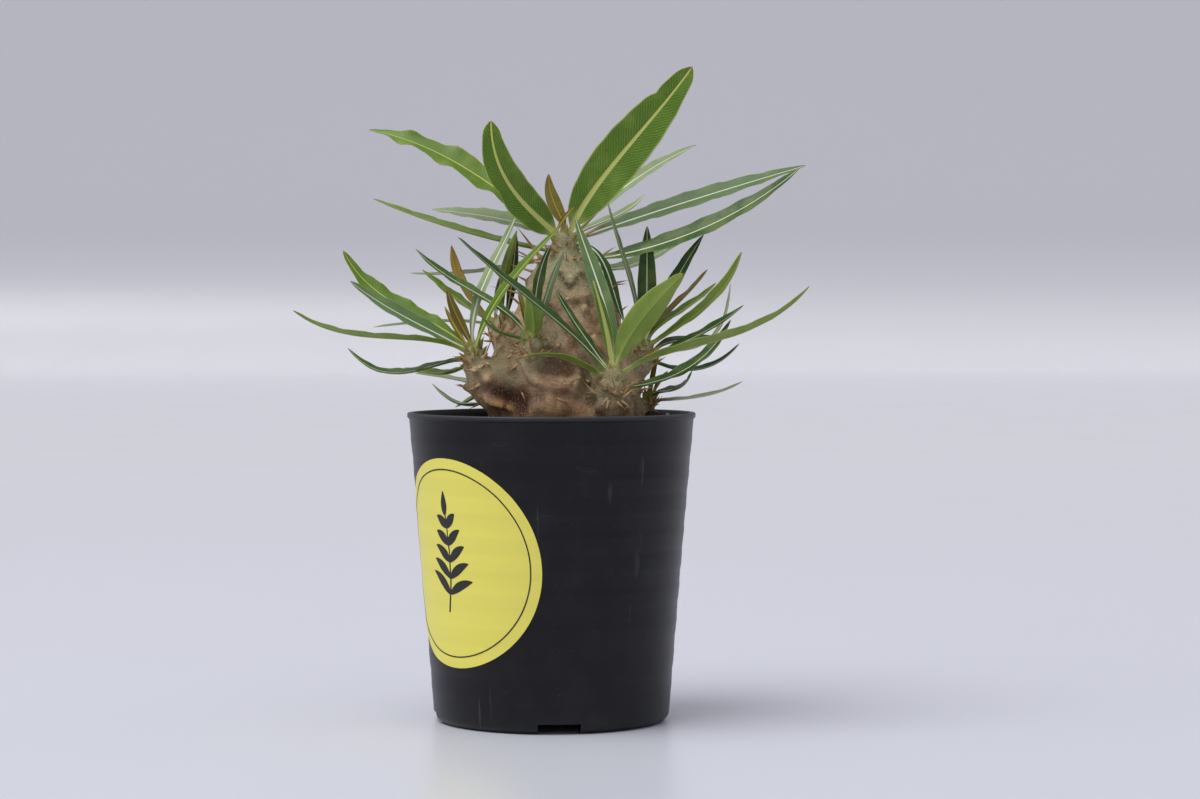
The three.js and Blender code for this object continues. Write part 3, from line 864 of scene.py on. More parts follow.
def build_grains():
    """Loose grit on the soil, none of it in the caudex."""
    soil = settings().soil
    random = np.random.default_rng(SEED)
    bm = bmesh.new()
    bmesh.ops.create_icosphere(bm, subdivisions=1, radius=1.0)
    ball = np.array([v.co for v in bm.verts])
    ball_faces = [tuple(v.index for v in face.verts) for face in bm.faces]
    bm.free()
    tree = BVHTree.FromPolygons(*welded("caudex"))
    points, faces, shades = [], [], []
    rim = wall_radius(SOIL_LEVEL) - POT_WALL
    limits = np.cumsum([part for part, _ in GRAINS])
    for _ in range(soil.grains):
        radius = soil.smallest / MM + (soil.largest - soil.smallest) / MM * random.random() ** 3.2
        away = (rim - radius - 0.1) * math.sqrt(random.random())
        angle = 2 * math.pi * random.random()
        x, y = away * math.cos(angle), away * math.sin(angle)
        shape = random.uniform(0.7, 1.0, 3)
        turn = random_turn(random)
        dents = 1 + 0.16 * random.standard_normal(len(ball))
        kind = min(int(np.searchsorted(limits, random.random())), len(GRAINS) - 1)
        lighter = random.uniform(-0.25, 0.25)
        z = soil_top(x, y) + radius * 0.25
        gap = tree.find_nearest(Vector((x, y, z)))[3]
        if gap is not None and gap < radius + 0.2:
            continue
        first = len(points)
        points += map(tuple, (ball * dents[:, None] * shape * radius) @ turn.T + (x, y, z))
        faces += [tuple(first + i for i in face) for face in ball_faces]
        hue = np.clip(np.array(GRAINS[kind][1]) * (1 + lighter), 0, 1)
        shades += [tuple(hue)] * len(ball)
    made = mesh_piece("soil_grains", points, faces, grit_finish(), False, {"shade": shades})


def grit_finish():
    f = Finish("soil_grit", Specular_IOR_Level=0.25)
    pore = f.noise(f.place(), 0.35, 4.0, 0.7)
    return f.output(
        Base_Color=f.mix(f.step(pore, 0.45, 0.75) * 0.45, f.attribute("shade"), rgb(60, 50, 42)),
        Roughness=0.8 + pore * 0.15,
        Normal=f.bump(pore, 0.15, 0.8),
    )


def random_turn(random):
    """A random rotation matrix."""
    q, r = np.linalg.qr(random.standard_normal((3, 3)))
    q = q * np.sign(np.diag(r))
    return q * np.linalg.det(q)


# Caudex

# Crowns, as the CAD's: X, Y, Z and radius of the ball that each ends in
CROWNS = {
    "top": (4.2, 0.0, 149.0, 4.5), "left": (-23.8, -10.0, 114.3, 3.5),
    "front": (-5.7, -18.0, 118.0, 3.2), "right": (19.0, -20.0, 107.0, 4.5),
    "rear_right": (28.0, 3.0, 115.5, 4.0), "low_right": (30.4, 15.0, 99.5, 2.5),
    "rear_left": (-15.4, 8.0, 123.0, 3.5), "low_left": (-17.5, 21.0, 101.0, 3.3),
}

# Lumps and hollows that the photograph shows: pixel, radius and height in millimetres
RELIEF = [
    (570, 279, 2.6, 1.7), (561, 275, 1.4, 1.0), (579.5, 274, 1.4, 1.0), (570, 289, 1.3, -0.7),
    (572, 299, 1.3, 1.2), (584, 310, 1.4, 1.3), (584, 310, 0.5, -1.2), (583, 301.5, 2.3, 0.9),
    (571.5, 341.5, 1.6, 0.7), (602, 256, 1.7, 1.6), (540, 262, 1.4, 0.9), (533, 290, 1.5, 0.9),
    (612, 284, 1.4, 1.2), (538, 346, 2.4, 1.3), (546, 345, 1.3, 1.0), (489, 381, 1.5, 1.6),
    (477, 371, 1.5, 1.8), (484, 366, 1.3, 0.7), (552, 361, 4.6, -1.2), (565, 366, 4.2, -1.0),
    (574, 373, 3.0, -0.8), (543, 369, 3.0, -0.6),
    (508, 400, 5.5, -1.5), (521, 403, 3.0, -1.0), (605, 388, 2.0, 1.4), (617, 389, 2.0, 1.4),
    (611, 388, 0.5, -0.9), (610, 396, 3.0, -0.6), (550, 409, 4.0, 1.2), (536, 408, 2.5, 0.8),
    (564, 408, 2.2, 0.8), (504, 352, 2.2, 1.0), (500, 338, 1.8, 1.2), (512, 344, 1.6, 1.0),
    (596, 352, 2.0, 0.8), (630, 372, 1.6, 1.0), (588, 396, 2.0, 1.0), (598, 408, 2.0, 1.0),
]

# Ridges and grooves: pixels that the crest passes, its radius and height
RIDGES = [
    ([(519, 353), (527, 366), (533, 378), (545, 385), (562, 387), (576, 384)], 1.9, 1.1),
    ([(579, 372), (577, 384), (573, 397)], 1.6, 1.2),
    ([(488, 399), (496, 403), (505, 406), (514, 411)], 1.5, 1.5),
    ([(500, 351), (505, 362), (512, 372)], 1.6, 0.7),
    ([(584, 360), (588, 378), (589, 396), (594, 410)], 2.1, -1.2),
    ([(593, 372), (592, 386), (597, 398)], 1.4, 0.6),
]

# Pixels round which no other tubercle stands
BARE = [
    (553, 362), (566, 367), (558, 372), (545, 365), (508, 398), (500, 364), (604, 378), (560, 388),
]

# Spines that the photograph shows: pixel of the root, pixel of the point, root radius
SPINES = [
    (539, 247.5, 516, 226, 0.55), (586, 228, 600, 211, 0.4), (588, 237, 610, 223, 0.4),
    (524, 265, 500, 262, 0.35), (527, 257, 513.5, 254, 0.3), (513.5, 289, 488, 286, 0.3),
    (600, 254, 617, 246, 0.4), (613, 283, 630, 280.5, 0.32), (613.5, 285, 628, 284, 0.3),
    (566, 384, 575, 386, 0.25), (523, 395, 525, 403, 0.25), (559.5, 399.5, 569, 404, 0.3),
    (568, 382, 576, 387, 0.25), (594, 338, 605, 356, 0.6), (634.6, 344.7, 626.5, 364, 0.5),
    (636, 349.6, 652.6, 351, 0.32), (608, 403, 605.5, 413, 0.35), (623, 402, 633, 411, 0.35),
    (474, 371, 461, 370, 0.45), (474, 389, 466.5, 391, 0.4), (478, 386, 473, 389.5, 0.5),
    (560, 246, 551, 240, 0.3), (592, 236, 605, 233, 0.35), (568, 299, 576, 296.5, 0.35),
    (561, 271, 552, 270, 0.25), (606, 400, 598, 409, 0.3), (619, 404, 625, 410, 0.3),
    (582, 366, 590, 372, 0.3), (579, 378, 570, 384, 0.3), (516, 366, 507, 374, 0.3),
    (511, 356, 503, 362, 0.4), (507, 350, 515, 357, 0.35), (519, 341, 510, 347, 0.4),
    (505, 328, 496, 313, 0.6), (509, 331, 518, 317, 0.55), (512, 326, 503, 308, 0.5),
    (502, 333, 491, 325, 0.5), (514, 332, 524, 322, 0.5), (498, 336, 507, 322, 0.55),
    (490, 338, 487, 326, 0.5), (506, 340, 500, 330, 0.45), (595, 341, 602, 352, 0.4),
    (632, 352, 628, 366, 0.4), (549, 340, 553, 350, 0.35), (527, 258, 511, 248, 0.45),
]

# Stains and painted shadows on the bark: pixel, radius in millimetres, colour and strength
DARK_STAIN_AND_SHADOW, OLIVE, CHALK, OCHRE, LICHEN = (
    rgb(66, 32, 16), rgb(86, 76, 36), rgb(206, 200, 164), rgb(176, 134, 80), rgb(136, 126, 90)
)
STAINS_AND_SHADOWS = [
    # Painted shadows under the left limb, and from pixel (553, 358) on, in the middle hollow
    (508, 398, 4.6, DARK_STAIN_AND_SHADOW, 1.0), (520, 404, 4.2, DARK_STAIN_AND_SHADOW, 1.0), (497, 393, 2.8, DARK_STAIN_AND_SHADOW, 0.9),
    (535, 400, 3.2, DARK_STAIN_AND_SHADOW, 0.6), (484, 388, 2.2, DARK_STAIN_AND_SHADOW, 0.6), (553, 358, 3.8, DARK_STAIN_AND_SHADOW, 0.32),
    (570, 361, 3.0, DARK_STAIN_AND_SHADOW, 0.3),
    (516, 268, 1.6, DARK_STAIN_AND_SHADOW, 0.7), (588, 300, 1.6, DARK_STAIN_AND_SHADOW, 0.3),
    (625, 404, 2.8, DARK_STAIN_AND_SHADOW, 0.6), (603, 406, 2.4, DARK_STAIN_AND_SHADOW, 0.5), (540, 396, 2.0, DARK_STAIN_AND_SHADOW, 0.5),
    (560, 274, 1.0, OLIVE, 0.9), (563, 279, 0.9, OLIVE, 0.9), (566.5, 283.5, 0.9, OLIVE, 0.9),
    (570, 287, 1.0, OLIVE, 1.0), (573.5, 283.5, 0.9, OLIVE, 0.9), (577, 279, 0.9, OLIVE, 0.9),
    (580.5, 273.5, 1.0, OLIVE, 0.9), (570, 276, 1.0, CHALK, 0.6), (570, 281, 0.6, CHALK, 0.9),
    (579, 302, 1.1, OLIVE, 0.8), (588, 303, 1.0, OLIVE, 0.8), (572, 299, 0.6, OCHRE, 0.9),
    (584, 310, 1.25, OCHRE, 0.6), (584, 310, 0.45, CHALK, 1.0), (571.5, 341.5, 0.6, OCHRE, 0.6),
    (611, 388.5, 0.42, DARK_STAIN_AND_SHADOW, 1.0), (605, 388, 1.1, CHALK, 0.45), (618, 389, 1.2, OCHRE, 0.6),
    (477, 371, 0.8, OCHRE, 0.8), (489, 381, 0.9, OCHRE, 0.8), (505, 349, 1.0, OCHRE, 0.6),
    (499, 405, 2.6, OCHRE, 1.0), (508, 409, 2.2, OCHRE, 0.9), (550, 408, 2.8, OCHRE, 0.5),
    (563, 409, 2.0, OCHRE, 0.6), (537, 411, 1.8, OCHRE, 0.5), (538, 345, 1.0, CHALK, 0.6),
    (500, 366, 4.6, LICHEN, 0.9), (490, 360, 3.4, LICHEN, 0.8), (512, 378, 3.0, LICHEN, 0.6),
    # The dark brown marks at pixels (589, 384), (590, 398) and (586, 366) are painted shadow in the
    # groove beside the right limb
    (604, 376, 4.4, LICHEN, 0.9), (620, 392, 3.8, LICHEN, 0.8), (589, 384, 1.6, DARK_STAIN_AND_SHADOW, 0.55),
    (590, 398, 1.8, DARK_STAIN_AND_SHADOW, 0.6), (586, 366, 1.4, DARK_STAIN_AND_SHADOW, 0.4), (600, 395, 2.6, LICHEN, 0.6),
    (584, 256, 3.6, LICHEN, 0.8), (578, 330, 2.6, LICHEN, 0.3), (541, 344, 2.2, LICHEN, 0.6),
]


# Distances from the camera at which a ray that misses the caudex looks for it
RAY_STEPS = np.linspace(850, 900, 26)

SOIL_COVERS = 91.0       # no tubercle grows below this height
CANDIDATES = 0.02        # share of the points that may become tubercles
WIDE_LUMPS = 16          # tubercles that sit on a wider lump
SMALL_MARK = 2.7         # marks up to this radius carry a scar


def crown_distance(points):
    """Distance of each point from the nearest crown's surface."""
    gaps = [
        np.linalg.norm(points - np.array(c[:3]), axis=1) - c[3] for c in CROWNS.values()
    ]
    return np.min(gaps, axis=0)


def scattered(points, spacing, taken, random):
    """Indices of points that keep spacing from each other and from taken ones."""
    chosen, kept = [], list(taken)
    for i in random.permutation(len(points)):
        if kept and np.min(np.linalg.norm(np.array(kept) - points[i], axis=1)) < spacing:
            continue
        kept.append(points[i])
        chosen.append(i)
    return chosen


class Body:
    """The caudex's surface while it is modelled: points, normals and a tree for rays."""

    def __init__(self, mesh):
        self.mesh = mesh
        self.points = points_of(mesh)
        self.refresh()

    def refresh(self):
        set_points(self.mesh, self.points)
        flat = np.zeros(len(self.points) * 3, np.float32)
        self.mesh.vertices.foreach_get("normal", flat)
        self.normals = flat.reshape(-1, 3).astype(float)
        faces = [tuple(p.vertices) for p in self.mesh.polygons]
        self.tree = BVHTree.FromPolygons([Vector(p) for p in self.points], faces)

    def hit(self, px, py):
        """(point, normal) that the camera sees at a pixel, or the nearest surface to its ray."""
        ray = ray_through(px, py)
        place, normal, _, _ = self.tree.ray_cast(CAMERA_PLACE, ray)
        if place is None:
            tries = [self.tree.find_nearest(CAMERA_PLACE + ray * s) for s in RAY_STEPS]
            place, normal, _, _ = min(tries, key=lambda found: found[3])
        return place, normal

    def push(self, centre, direction, radius, height):
        """A rounded lump, or a hollow if height is negative."""
        gap = self.points - np.array(centre)
        near = (gap**2).sum(1) < (3 * radius) ** 2
        power = 1.4 if height > 0 else 0.9
        weight = np.exp(-(((gap[near] ** 2).sum(1) / radius**2) ** power))
        facing = np.clip(self.normals[near] @ np.array(direction), 0, 1)
        self.points[near] += (weight * facing * height)[:, None] * np.array(direction)


def smooth_caudex():
    """The CAD caudex remeshed coarsely and then finely, its facets smoothed away."""
    voxel = settings().bark.voxel
    steps = []
    for size, iterations in ((2 * voxel, 14), (voxel, 4)):
        steps.append(("REMESH", {"mode": "VOXEL", "voxel_size": size, "adaptivity": 0.0}))
        steps.append(("SMOOTH", {"factor": 0.5, "iterations": iterations}))
    return evaluated("caudex_work", new_mesh("caudex_work", *welded("caudex")), steps)


def roughen(body):
    """Gives the bark uneven lumps, which stay away from the crowns, and a wrinkled skin."""
    lumps = np.array([
        rounded_noise(p, 9.0, 11) + 0.45 * rounded_noise(p, 4.0, 13) for p in body.points
    ])
    skin = np.array([
        0.13 * rounded_noise(p, 2.2, 17) - 0.1 * abs(rounded_noise(p, 1.2, 19)) for p in body.points
    ])
    calm = np.clip((crown_distance(body.points) - 1.0) / 5.0, 0, 1)
    body.points += body.normals * (lumps * calm * 0.8 + skin)[:, None]
    body.refresh()


def push_marks(body):
    """Makes the lumps, hollows and ridges of the photograph: (place, radius, height) of each."""
    hits = [(body.hit(px, py), radius, 1.25 * height) for px, py, radius, height in RELIEF]
    for line, radius, height in RIDGES:
        for (x0, y0), (x1, y1) in zip(line, line[1:]):
            for t in np.linspace(0, 1, 4)[:-1]:
                hits.append((body.hit(x0 + (x1 - x0) * t, y0 + (y1 - y0) * t), radius, height))
    for (place, normal), radius, height in hits:
        body.push(place, normal, radius, height)
    body.refresh()
    return [(np.array(place), radius, height) for (place, _), radius, height in hits]


def grow_tubercles(body, marks, random):
    """Scatters tubercles between the marks: (place, direction) of each one's scar."""
    bark = settings().bark
    shown = (body.points[:, 2] > SOIL_COVERS) & (crown_distance(body.points) > 2.5)
    candidates = np.flatnonzero(shown)
    candidates = candidates[random.random(len(candidates)) < CANDIDATES]
    taken = [place for place, _, height in marks if height > 0]
    taken += [np.array(body.hit(px, py)[0]) for px, py in BARE]
    chosen = candidates[scattered(body.points[candidates], bark.spacing / MM, taken, random)]
    seats = []
    for i in chosen:
        place = body.points[i].copy()
        normal = unit(body.normals[i] + np.array((0, 0, 0.25)))
        height = bark.tubercle / MM * random.uniform(0.35, 1.25)
        body.push(place, normal, random.uniform(1.0, 2.1), height)
        seats.append((place + normal * height * 0.8, normal))
    body.refresh()
    for i in random.permutation(chosen)[:WIDE_LUMPS]:
        size = random.uniform(2.6, 4.6)
        body.push(body.points[i] + body.normals[i], body.normals[i].copy(), size, 0.22 * size)
    body.refresh()
    return seats


def stained_and_shaded(body, seats, random):
    """The colour and strength of the marks at each point, partly the bark's own blotches and partly
    painted shadows. Each tubercle adds two coloured blotches, olive below it and ochre on it.
    """
    colour, strength = np.zeros_like(body.points), np.zeros(len(body.points))
    stains_and_shadows = [(body.hit(px, py)[0], *rest) for px, py, *rest in STAINS_AND_SHADOWS]
    for seat, _ in seats:
        radius, most = random.uniform(1.2, 2.2), random.uniform(0.2, 0.7)
        stains_and_shadows.append((seat - (0, 0, 1.6), radius, OLIVE, most))
        stains_and_shadows.append((seat, 0.9, OCHRE, random.uniform(0.1, 0.7)))
    for place, radius, tone, most in stains_and_shadows:
        gap = ((body.points - np.array(place)) ** 2).sum(1) / radius**2
        share = most * np.exp(-(gap**1.3))
        colour = colour * (1 - share[:, None]) + np.array(tone) * share[:, None]
        strength = 1 - (1 - strength) * (1 - share)
    return colour / np.maximum(strength, 1e-4)[:, None], strength


def build_caudex():
    """The stem with its relief, the looks of each point of its bark, and its spines."""
    random = np.random.default_rng(SEED + 1)
    body = Body(smooth_caudex())
    before = body.points.copy()
    roughen(body)
    marks = push_marks(body)
    seats = grow_tubercles(body, marks, random)
    relief = ((body.points - before) * body.normals).sum(1)
    scars = [
        (place, 0.85 * radius) for place, radius, height in marks[: len(RELIEF)]
        if height > 0 and radius < SMALL_MARK
    ]
    scar = np.zeros(len(body.points))
    for place, radius in scars + [(seat, 1.25) for seat, _ in seats]:
        scar = np.maximum(scar, np.exp(-((body.points - place) ** 2).sum(1) / radius**2))
    heights = body.points[:, 2]
    green = np.maximum(1 - crown_distance(body.points) / 9, (heights - 124) / 18)
    # The third value is painted shade, none at 100 mm and full at 90 mm, towards the soil
    looks = np.stack([relief, np.clip(green, 0, 1), np.clip((100 - heights) / 10, 0, 1)], 1)
    stain_and_shade, strength = stained_and_shaded(body, seats, random)
    for key, values in {"bark": looks, "scar": scar, "stain_and_shade": stain_and_shade, "stained_and_shaded": strength}.items():
        add_attribute(body.mesh, key, values)
    shade(body.mesh)
    body.mesh.name = "caudex_bark"
    made = piece("caudex_bark", body.mesh, bark_finish())
    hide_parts("caudex")
    build_spines(body, seats, random)


def bark_finish():
    """Dry beige bark: painted shade in hollows and towards the soil, green near the crowns, with
    scars, blotches, painted shadows and specks.
    """
    bark = settings().bark
    f = Finish("bark", Specular_IOR_Level=0.3)
    here = f.place()
    relief, green, low = f.axes(f.attribute("bark"))
    scar, stained_and_shaded = f.attribute("scar", "Fac"), f.attribute("stained_and_shaded", "Fac")
    cloud = f.noise(here, 6.0, 5.0, 0.6)
    blotch = f.noise(here, 2.6, 4.0, 0.6, 0.4)
    fine = f.noise(here, 0.6, 4.0, 0.65)
    wrinkle = f.noise(f.stretch(here, (1.0, 1.0, 2.4)), 1.5, 5.0, 0.7)
    specks = f.dots(here, 0.62, 0.16, 0.34) * f.patches(here, 2.4, 0.32, 0.5)
    dark_specks = f.dots(here, 0.8, 0.12, 0.3)
    # Painted shade: the bark turns dark brown where its relief is pushed in
    hollow = f.step(-relief + (cloud - 0.5) * 1.2, 0.15, 1.5)
    young = (green * (0.5 + cloud)).least(1.0)
    rim = f.step(scar, 0.25, 0.5) * (1 - f.step(scar, 0.72, 0.9))
    clean = 1 - stained_and_shaded
    return f.output(
        Base_Color=f.layers(
            bark.beige,
            (f.step(cloud, 0.35, 0.7), rgb(168, 128, 94)),
            (f.step(blotch, 0.5, 0.66) * 0.6, rgb(124, 88, 60)),
            (f.step(wrinkle, 0.52, 0.76) * 0.4, rgb(118, 86, 64)),
            (hollow * 0.8, bark.hollow_shade),
            # Painted shade, brown, towards the soil
            ((low * (0.3 + cloud)).least(0.8), rgb(132, 92, 48)),
            (young * 0.8, bark.green),
            (dark_specks * (0.12 + 0.4 * young), rgb(78, 78, 54)),
            (specks * (0.35 + 0.5 * young), bark.speck),
            # The bark's own blotches together with painted shadows
            (stained_and_shaded * (0.55 + 0.6 * fine).least(1.0), f.attribute("stain_and_shade")),
            (specks * stained_and_shaded * 0.4, bark.speck),
            (rim * 0.5 * clean, rgb(98, 78, 40)),
            (f.step(scar, 0.8, 0.95) * 0.55 * clean, rgb(170, 150, 108)),
            (f.step(fine, 0.52, 0.72) * 0.42, rgb(84, 58, 42)),
        ),
        Roughness=0.62 + fine * 0.25,
        Normal=f.bump(wrinkle * 0.7 + specks * 0.3 + fine * 0.35 - rim * 0.5, 0.6, 0.85),
    )


SPINE_RINGS, SPINE_SIDES = 7, 7
SPIRAL = 2.4    # the angle from one spine or leaf foot of a crown to the next


def spine(store, root, tip, radius, bend, flat=1.0):
    """Adds a curved, tapered spine to store, its foot sunk in the bark."""
    points, faces, places = store
    root, tip = np.array(root, float), np.array(tip, float)
    reach = np.linalg.norm(tip - root)
    way = (tip - root) / reach
    side = unit(np.cross(way, (0.3, 0.2, 1.0)))
    up = np.cross(side, way)
    first, sides = len(points), SPINE_SIDES
    bent = root + way * reach * 0.65 + up * bend
    controls = [root - way * 0.7, root + way * reach * 0.3, bent, tip]
    centre, _ = bezier(controls, np.linspace(0, 1, SPINE_RINGS + 1))
    for i in range(SPINE_RINGS):
        along = i / SPINE_RINGS
        wide = radius * (1.35 - 0.95 * along if i else 1.9)
        wide = max(wide * (1 - along**3), 0.05)
        for j in range(sides):
            a = 2 * math.pi * j / sides
            off = math.cos(a) * side + flat * math.sin(a) * up
            points.append(tuple(centre[i] + wide * off))
            places.append(along)
    points.append(tuple(tip))
    places.append(1.0)
    last = first + (SPINE_RINGS - 1) * sides
    faces += grid_faces(SPINE_RINGS, sides, first=first)
    faces += [(last + j, last + (j + 1) % sides, last + sides) for j in range(sides)]
    faces.append(tuple(first + j for j in reversed(range(sides))))


def build_spines(body, seats, random):
    """Spines where the photograph shows them, in pairs on the tubercles and round the crowns."""
    look = settings().spines
    short, long, radius = look.shortest / MM, look.longest / MM, look.root_radius / MM
    store = ([], [], [])
    for x0, y0, x1, y1, wide in SPINES:
        root, _ = body.hit(x0, y0)
        tip = lift(x1, y1, root.y - 0.25 * math.hypot(x1 - x0, y1 - y0) / 3.2)
        spine(store, root, tip, wide, 0.3)
    for place, normal in seats:
        across = unit(np.cross(normal, (0.0, 0.0, 1.0)) + 1e-6)
        lean = random.uniform(-0.3, 0.3)
        for side in (-1, 1):
            way = unit(normal + side * random.uniform(0.3, 0.8) * across + (0, 0, lean))
            reach = random.uniform(short, long)
            thick = radius * random.uniform(0.85, 1.15)
            spine(store, place, place + way * reach, thick, 0.3 * side)
    for x, y, z, size in CROWNS.values():
        turn = random.uniform(0, 6.28)
        for i in range(look.around_crown):
            angle = turn + SPIRAL * i
            drop = random.uniform(0.6, 1.0 + 1.1 * size)
            out = np.array((math.cos(angle), math.sin(angle), 0.0))
            start = Vector((x, y, z - drop)) + Vector(out) * (size + 6)
            place, _, _, gap = body.tree.ray_cast(start, Vector(-out))
            if place is None or gap > size + 7:
                continue
            way = unit(out + (0, 0, random.uniform(0.1, 0.9)) + 0.35 * random.standard_normal(3))
            reach = random.uniform(short, long)
            thick = radius * random.uniform(0.7, 1.25)
            spine(store, place, np.array(place) + way * reach, thick, random.uniform(-0.4, 0.4))
            if i % 2:
                stub = np.array(place) + unit(out + (0, 0, 0.8)) * random.uniform(1.2, 2.2)
                spine(store, place, stub, 0.75, 0.2, 0.55)
    points, faces, places = store
    ways = np.stack([places, places, places], 1)
    made = mesh_piece("caudex_spines", points, faces, spine_finish(), attributes={"way": ways})


def spine_finish():
    look = settings().spines
    f = Finish("spine", Specular_IOR_Level=0.3)
    along = f.axes(f.attribute("way"))[0]
    streak = f.noise(f.place(), 0.6, 3.0)
    return f.output(
        Base_Color=f.layers(
            look.root, (f.step(along + (streak - 0.5) * 0.5, 0.15, 0.85), look.tip),
            (f.step(streak, 0.5, 0.75) * 0.5, rgb(98, 66, 44)),
        ),
        Roughness=0.5 + streak * 0.25,
        Normal=f.bump(streak, 0.08, 0.6),
    )


# Leaves

# The look of each leaf of a crown, in the order of the CAD's numbers
LEAF_LOOKS = {
    "top": "fresh fresh olive bronze lime pale glaucous deep pale pale deep pale pale",
    "left": "olive glaucous under deep under lime bronze pale",
    "front": "deep under deep bronze deep pale",
    "right": "fresh under deep deep glaucous under under deep",
    "rear_right": "deep deep fresh bronze lime glaucous deep deep pale deep",
    "low_right": "bronze deep pale",
    "rear_left": "under deep bronze under pale",
    "low_left": "pale under pale",
}

# Each look: colours of the upper side, the underside, the midrib and the margin, then the midrib's
# half width and the strength of the side veins
LOOKS = {
    "fresh": ((74, 112, 10), (122, 150, 48), (196, 200, 112), (176, 190, 96), 0.95, 0.5),
    "olive": ((84, 118, 24), (120, 146, 48), (190, 196, 100), (150, 162, 70), 0.4, 0.35),
    "lime": ((90, 122, 22), (116, 142, 44), (190, 196, 104), (156, 168, 76), 0.35, 0.3),
    "under": ((98, 132, 38), (118, 142, 56), (192, 196, 116), (152, 168, 84), 0.35, 0.3),
    "deep": ((32, 72, 24), (88, 116, 56), (214, 222, 186), (100, 132, 74), 0.36, 0.2),
    # Painted glare: the grey of this look's upper side is partly its waxy bloom and partly a painted
    # reflection of the light above
    "glaucous": ((88, 116, 72), (134, 150, 104), (226, 230, 206), (138, 158, 116), 0.4, 0.2),
    # Painted glare: the grey of this look's upper side is partly the leaf's own colour and partly a
    # painted reflection of the light above
    "pale": ((136, 154, 112), (162, 176, 136), (226, 230, 206), (162, 178, 132), 0.35, 0.15),
    "scale": ((146, 134, 72), (146, 128, 78), (190, 176, 112), (132, 92, 52), 0.3, 0.1),
    "bronze": ((116, 100, 26), (150, 124, 46), (184, 162, 74), (142, 100, 40), 0.25, 0.2),
}

# Places across a blade, from margin to margin as shares of its half width
SECTION = np.array([
    -1, -0.97, -0.88, -0.74, -0.58, -0.42, -0.25, -0.1, 0,
    0.1, 0.25, 0.42, 0.58, 0.74, 0.88, 0.97, 1,
])
CAD_ROOF = 0.15    # the CAD leaf's upper crease above its midline, and
CAD_DEPTH = 0.8    # the height from its keel to that crease
WIDTH_POWER = 0.75
VEIN_PITCH = 1.25    # from one side vein to the next
VEIN_SLANT = 1.25    # how far a side vein runs towards the tip for each millimetre sideways
CROWN_FEET = 13      # leaf feet and scales on each crown

# Leaves with larger waves in their margins: height of the wave and its length, in millimetres
WAVY = {"leaf_top_03": (0.9, 17.0), "leaf_top_02": (0.4, 15.0), "leaf_left_01": (0.5, 13.0)}

# Bites in a blade's margin: place along it, side, depth and half length in millimetres
NICKS = {"leaf_top_01": (0.8, 1, 0.9, 1.6), "leaf_top_02": (0.55, 1, 1.1, 4.0)}


class Blade:
    """A leaf's midline, its half widths, how far it is folded and where its upper side faces."""

    def __init__(self, controls, normals, halves, folds):
        self.controls = [np.array(p, float) for p in controls]
        self.normals = np.array(normals, float)
        self.halves = np.array(halves, float)
        self.folds = np.array(folds, float)
        self.places = np.linspace(0.1, 0.9, len(halves))

    def half(self, along):
        """Half width, kept pointed at the tip and narrow at the foot."""
        shape = np.sin(math.pi * self.places) ** WIDTH_POWER
        ratio = np.interp(along, self.places, self.halves / shape)
        inside = np.clip(along, 0.0, 1.0)
        return ratio * np.sin(math.pi * inside) ** WIDTH_POWER

    def frames(self, along):
        """Centres, tangents, upward and sideways directions, straight on before the foot."""
        centre, slope = bezier(self.controls, np.clip(along, 0, 1))
        pace = 3 * np.linalg.norm(self.controls[1] - self.controls[0])
        before = np.minimum(along, 0)[:, None]
        centre = centre + slope * before * pace
        normal = np.stack([np.interp(along, self.places, self.normals[:, k]) for k in range(3)], 1)
        normal = unit(normal - (normal * slope).sum(1)[:, None] * slope)
        return centre, slope, normal, np.cross(normal, slope)


def read_blade(node, caudex_tree):
    """Measures a leaf of the CAD: rings of four corners between two poles."""
    points, triangles = welded(node)
    links = [set() for _ in points]
    for a, b, c in triangles:
        links[a] |= {b, c}
        links[b] |= {a, c}
        links[c] |= {a, b}
    poles = [i for i, near in enumerate(links) if len(near) == 4]
    if len(poles) != 2:
        raise RuntimeError(f"{node} has {len(poles)} poles and a leaf has 2")
    poles.sort(key=lambda i: caudex_tree.find_nearest(Vector(points[i]))[3])
    seen, rings = {poles[0]}, [sorted(links[poles[0]])]
    while True:
        seen |= set(rings[-1])
        ahead = sorted(set().union(*(links[i] for i in rings[-1])) - seen)
        if ahead == [poles[1]]:
            break
        if len(ahead) != 4:
            raise RuntimeError(f"{node} has a ring of {len(ahead)} corners")
        rings.append(ahead)
    centres, normals, halves, folds = [points[poles[0]]], [], [], []
    for ring in rings:
        corners = points[ring]
        gaps = np.linalg.norm(corners[:, None] - corners[None], axis=2)
        i, j = np.unravel_index(np.argmax(gaps), gaps.shape)
        edges = corners[[i, j]]
        others = corners[[k for k in range(4) if k not in (i, j)]]
        middle = edges.mean(0)
        far = np.argsort(np.linalg.norm(others - middle, axis=1))
        top, bottom = others[far[0]], others[far[1]]
        normal = unit(top - bottom)
        depth = np.linalg.norm(top - bottom)
        centre = top - (CAD_ROOF / CAD_DEPTH) * depth * normal
        centres.append(centre)
        normals.append(normal)
        halves.append(np.linalg.norm(edges - centre, axis=1).mean())
        folds.append(math.asin(min(1.0, float((middle - centre) @ normal) / halves[-1])))
    centres.append(points[poles[1]])
    centres = np.array(centres)
    t = np.linspace(0, 1, len(centres))[1:-1]
    inner = np.stack([3 * (1 - t) ** 2 * t, 3 * (1 - t) * t**2], 1)
    rest = centres[1:-1] - np.outer((1 - t) ** 3, centres[0]) - np.outer(t**3, centres[-1])
    solved, *_ = np.linalg.lstsq(inner, rest, rcond=None)
    return Blade([centres[0], solved[0], solved[1], centres[-1]], normals, halves, folds)


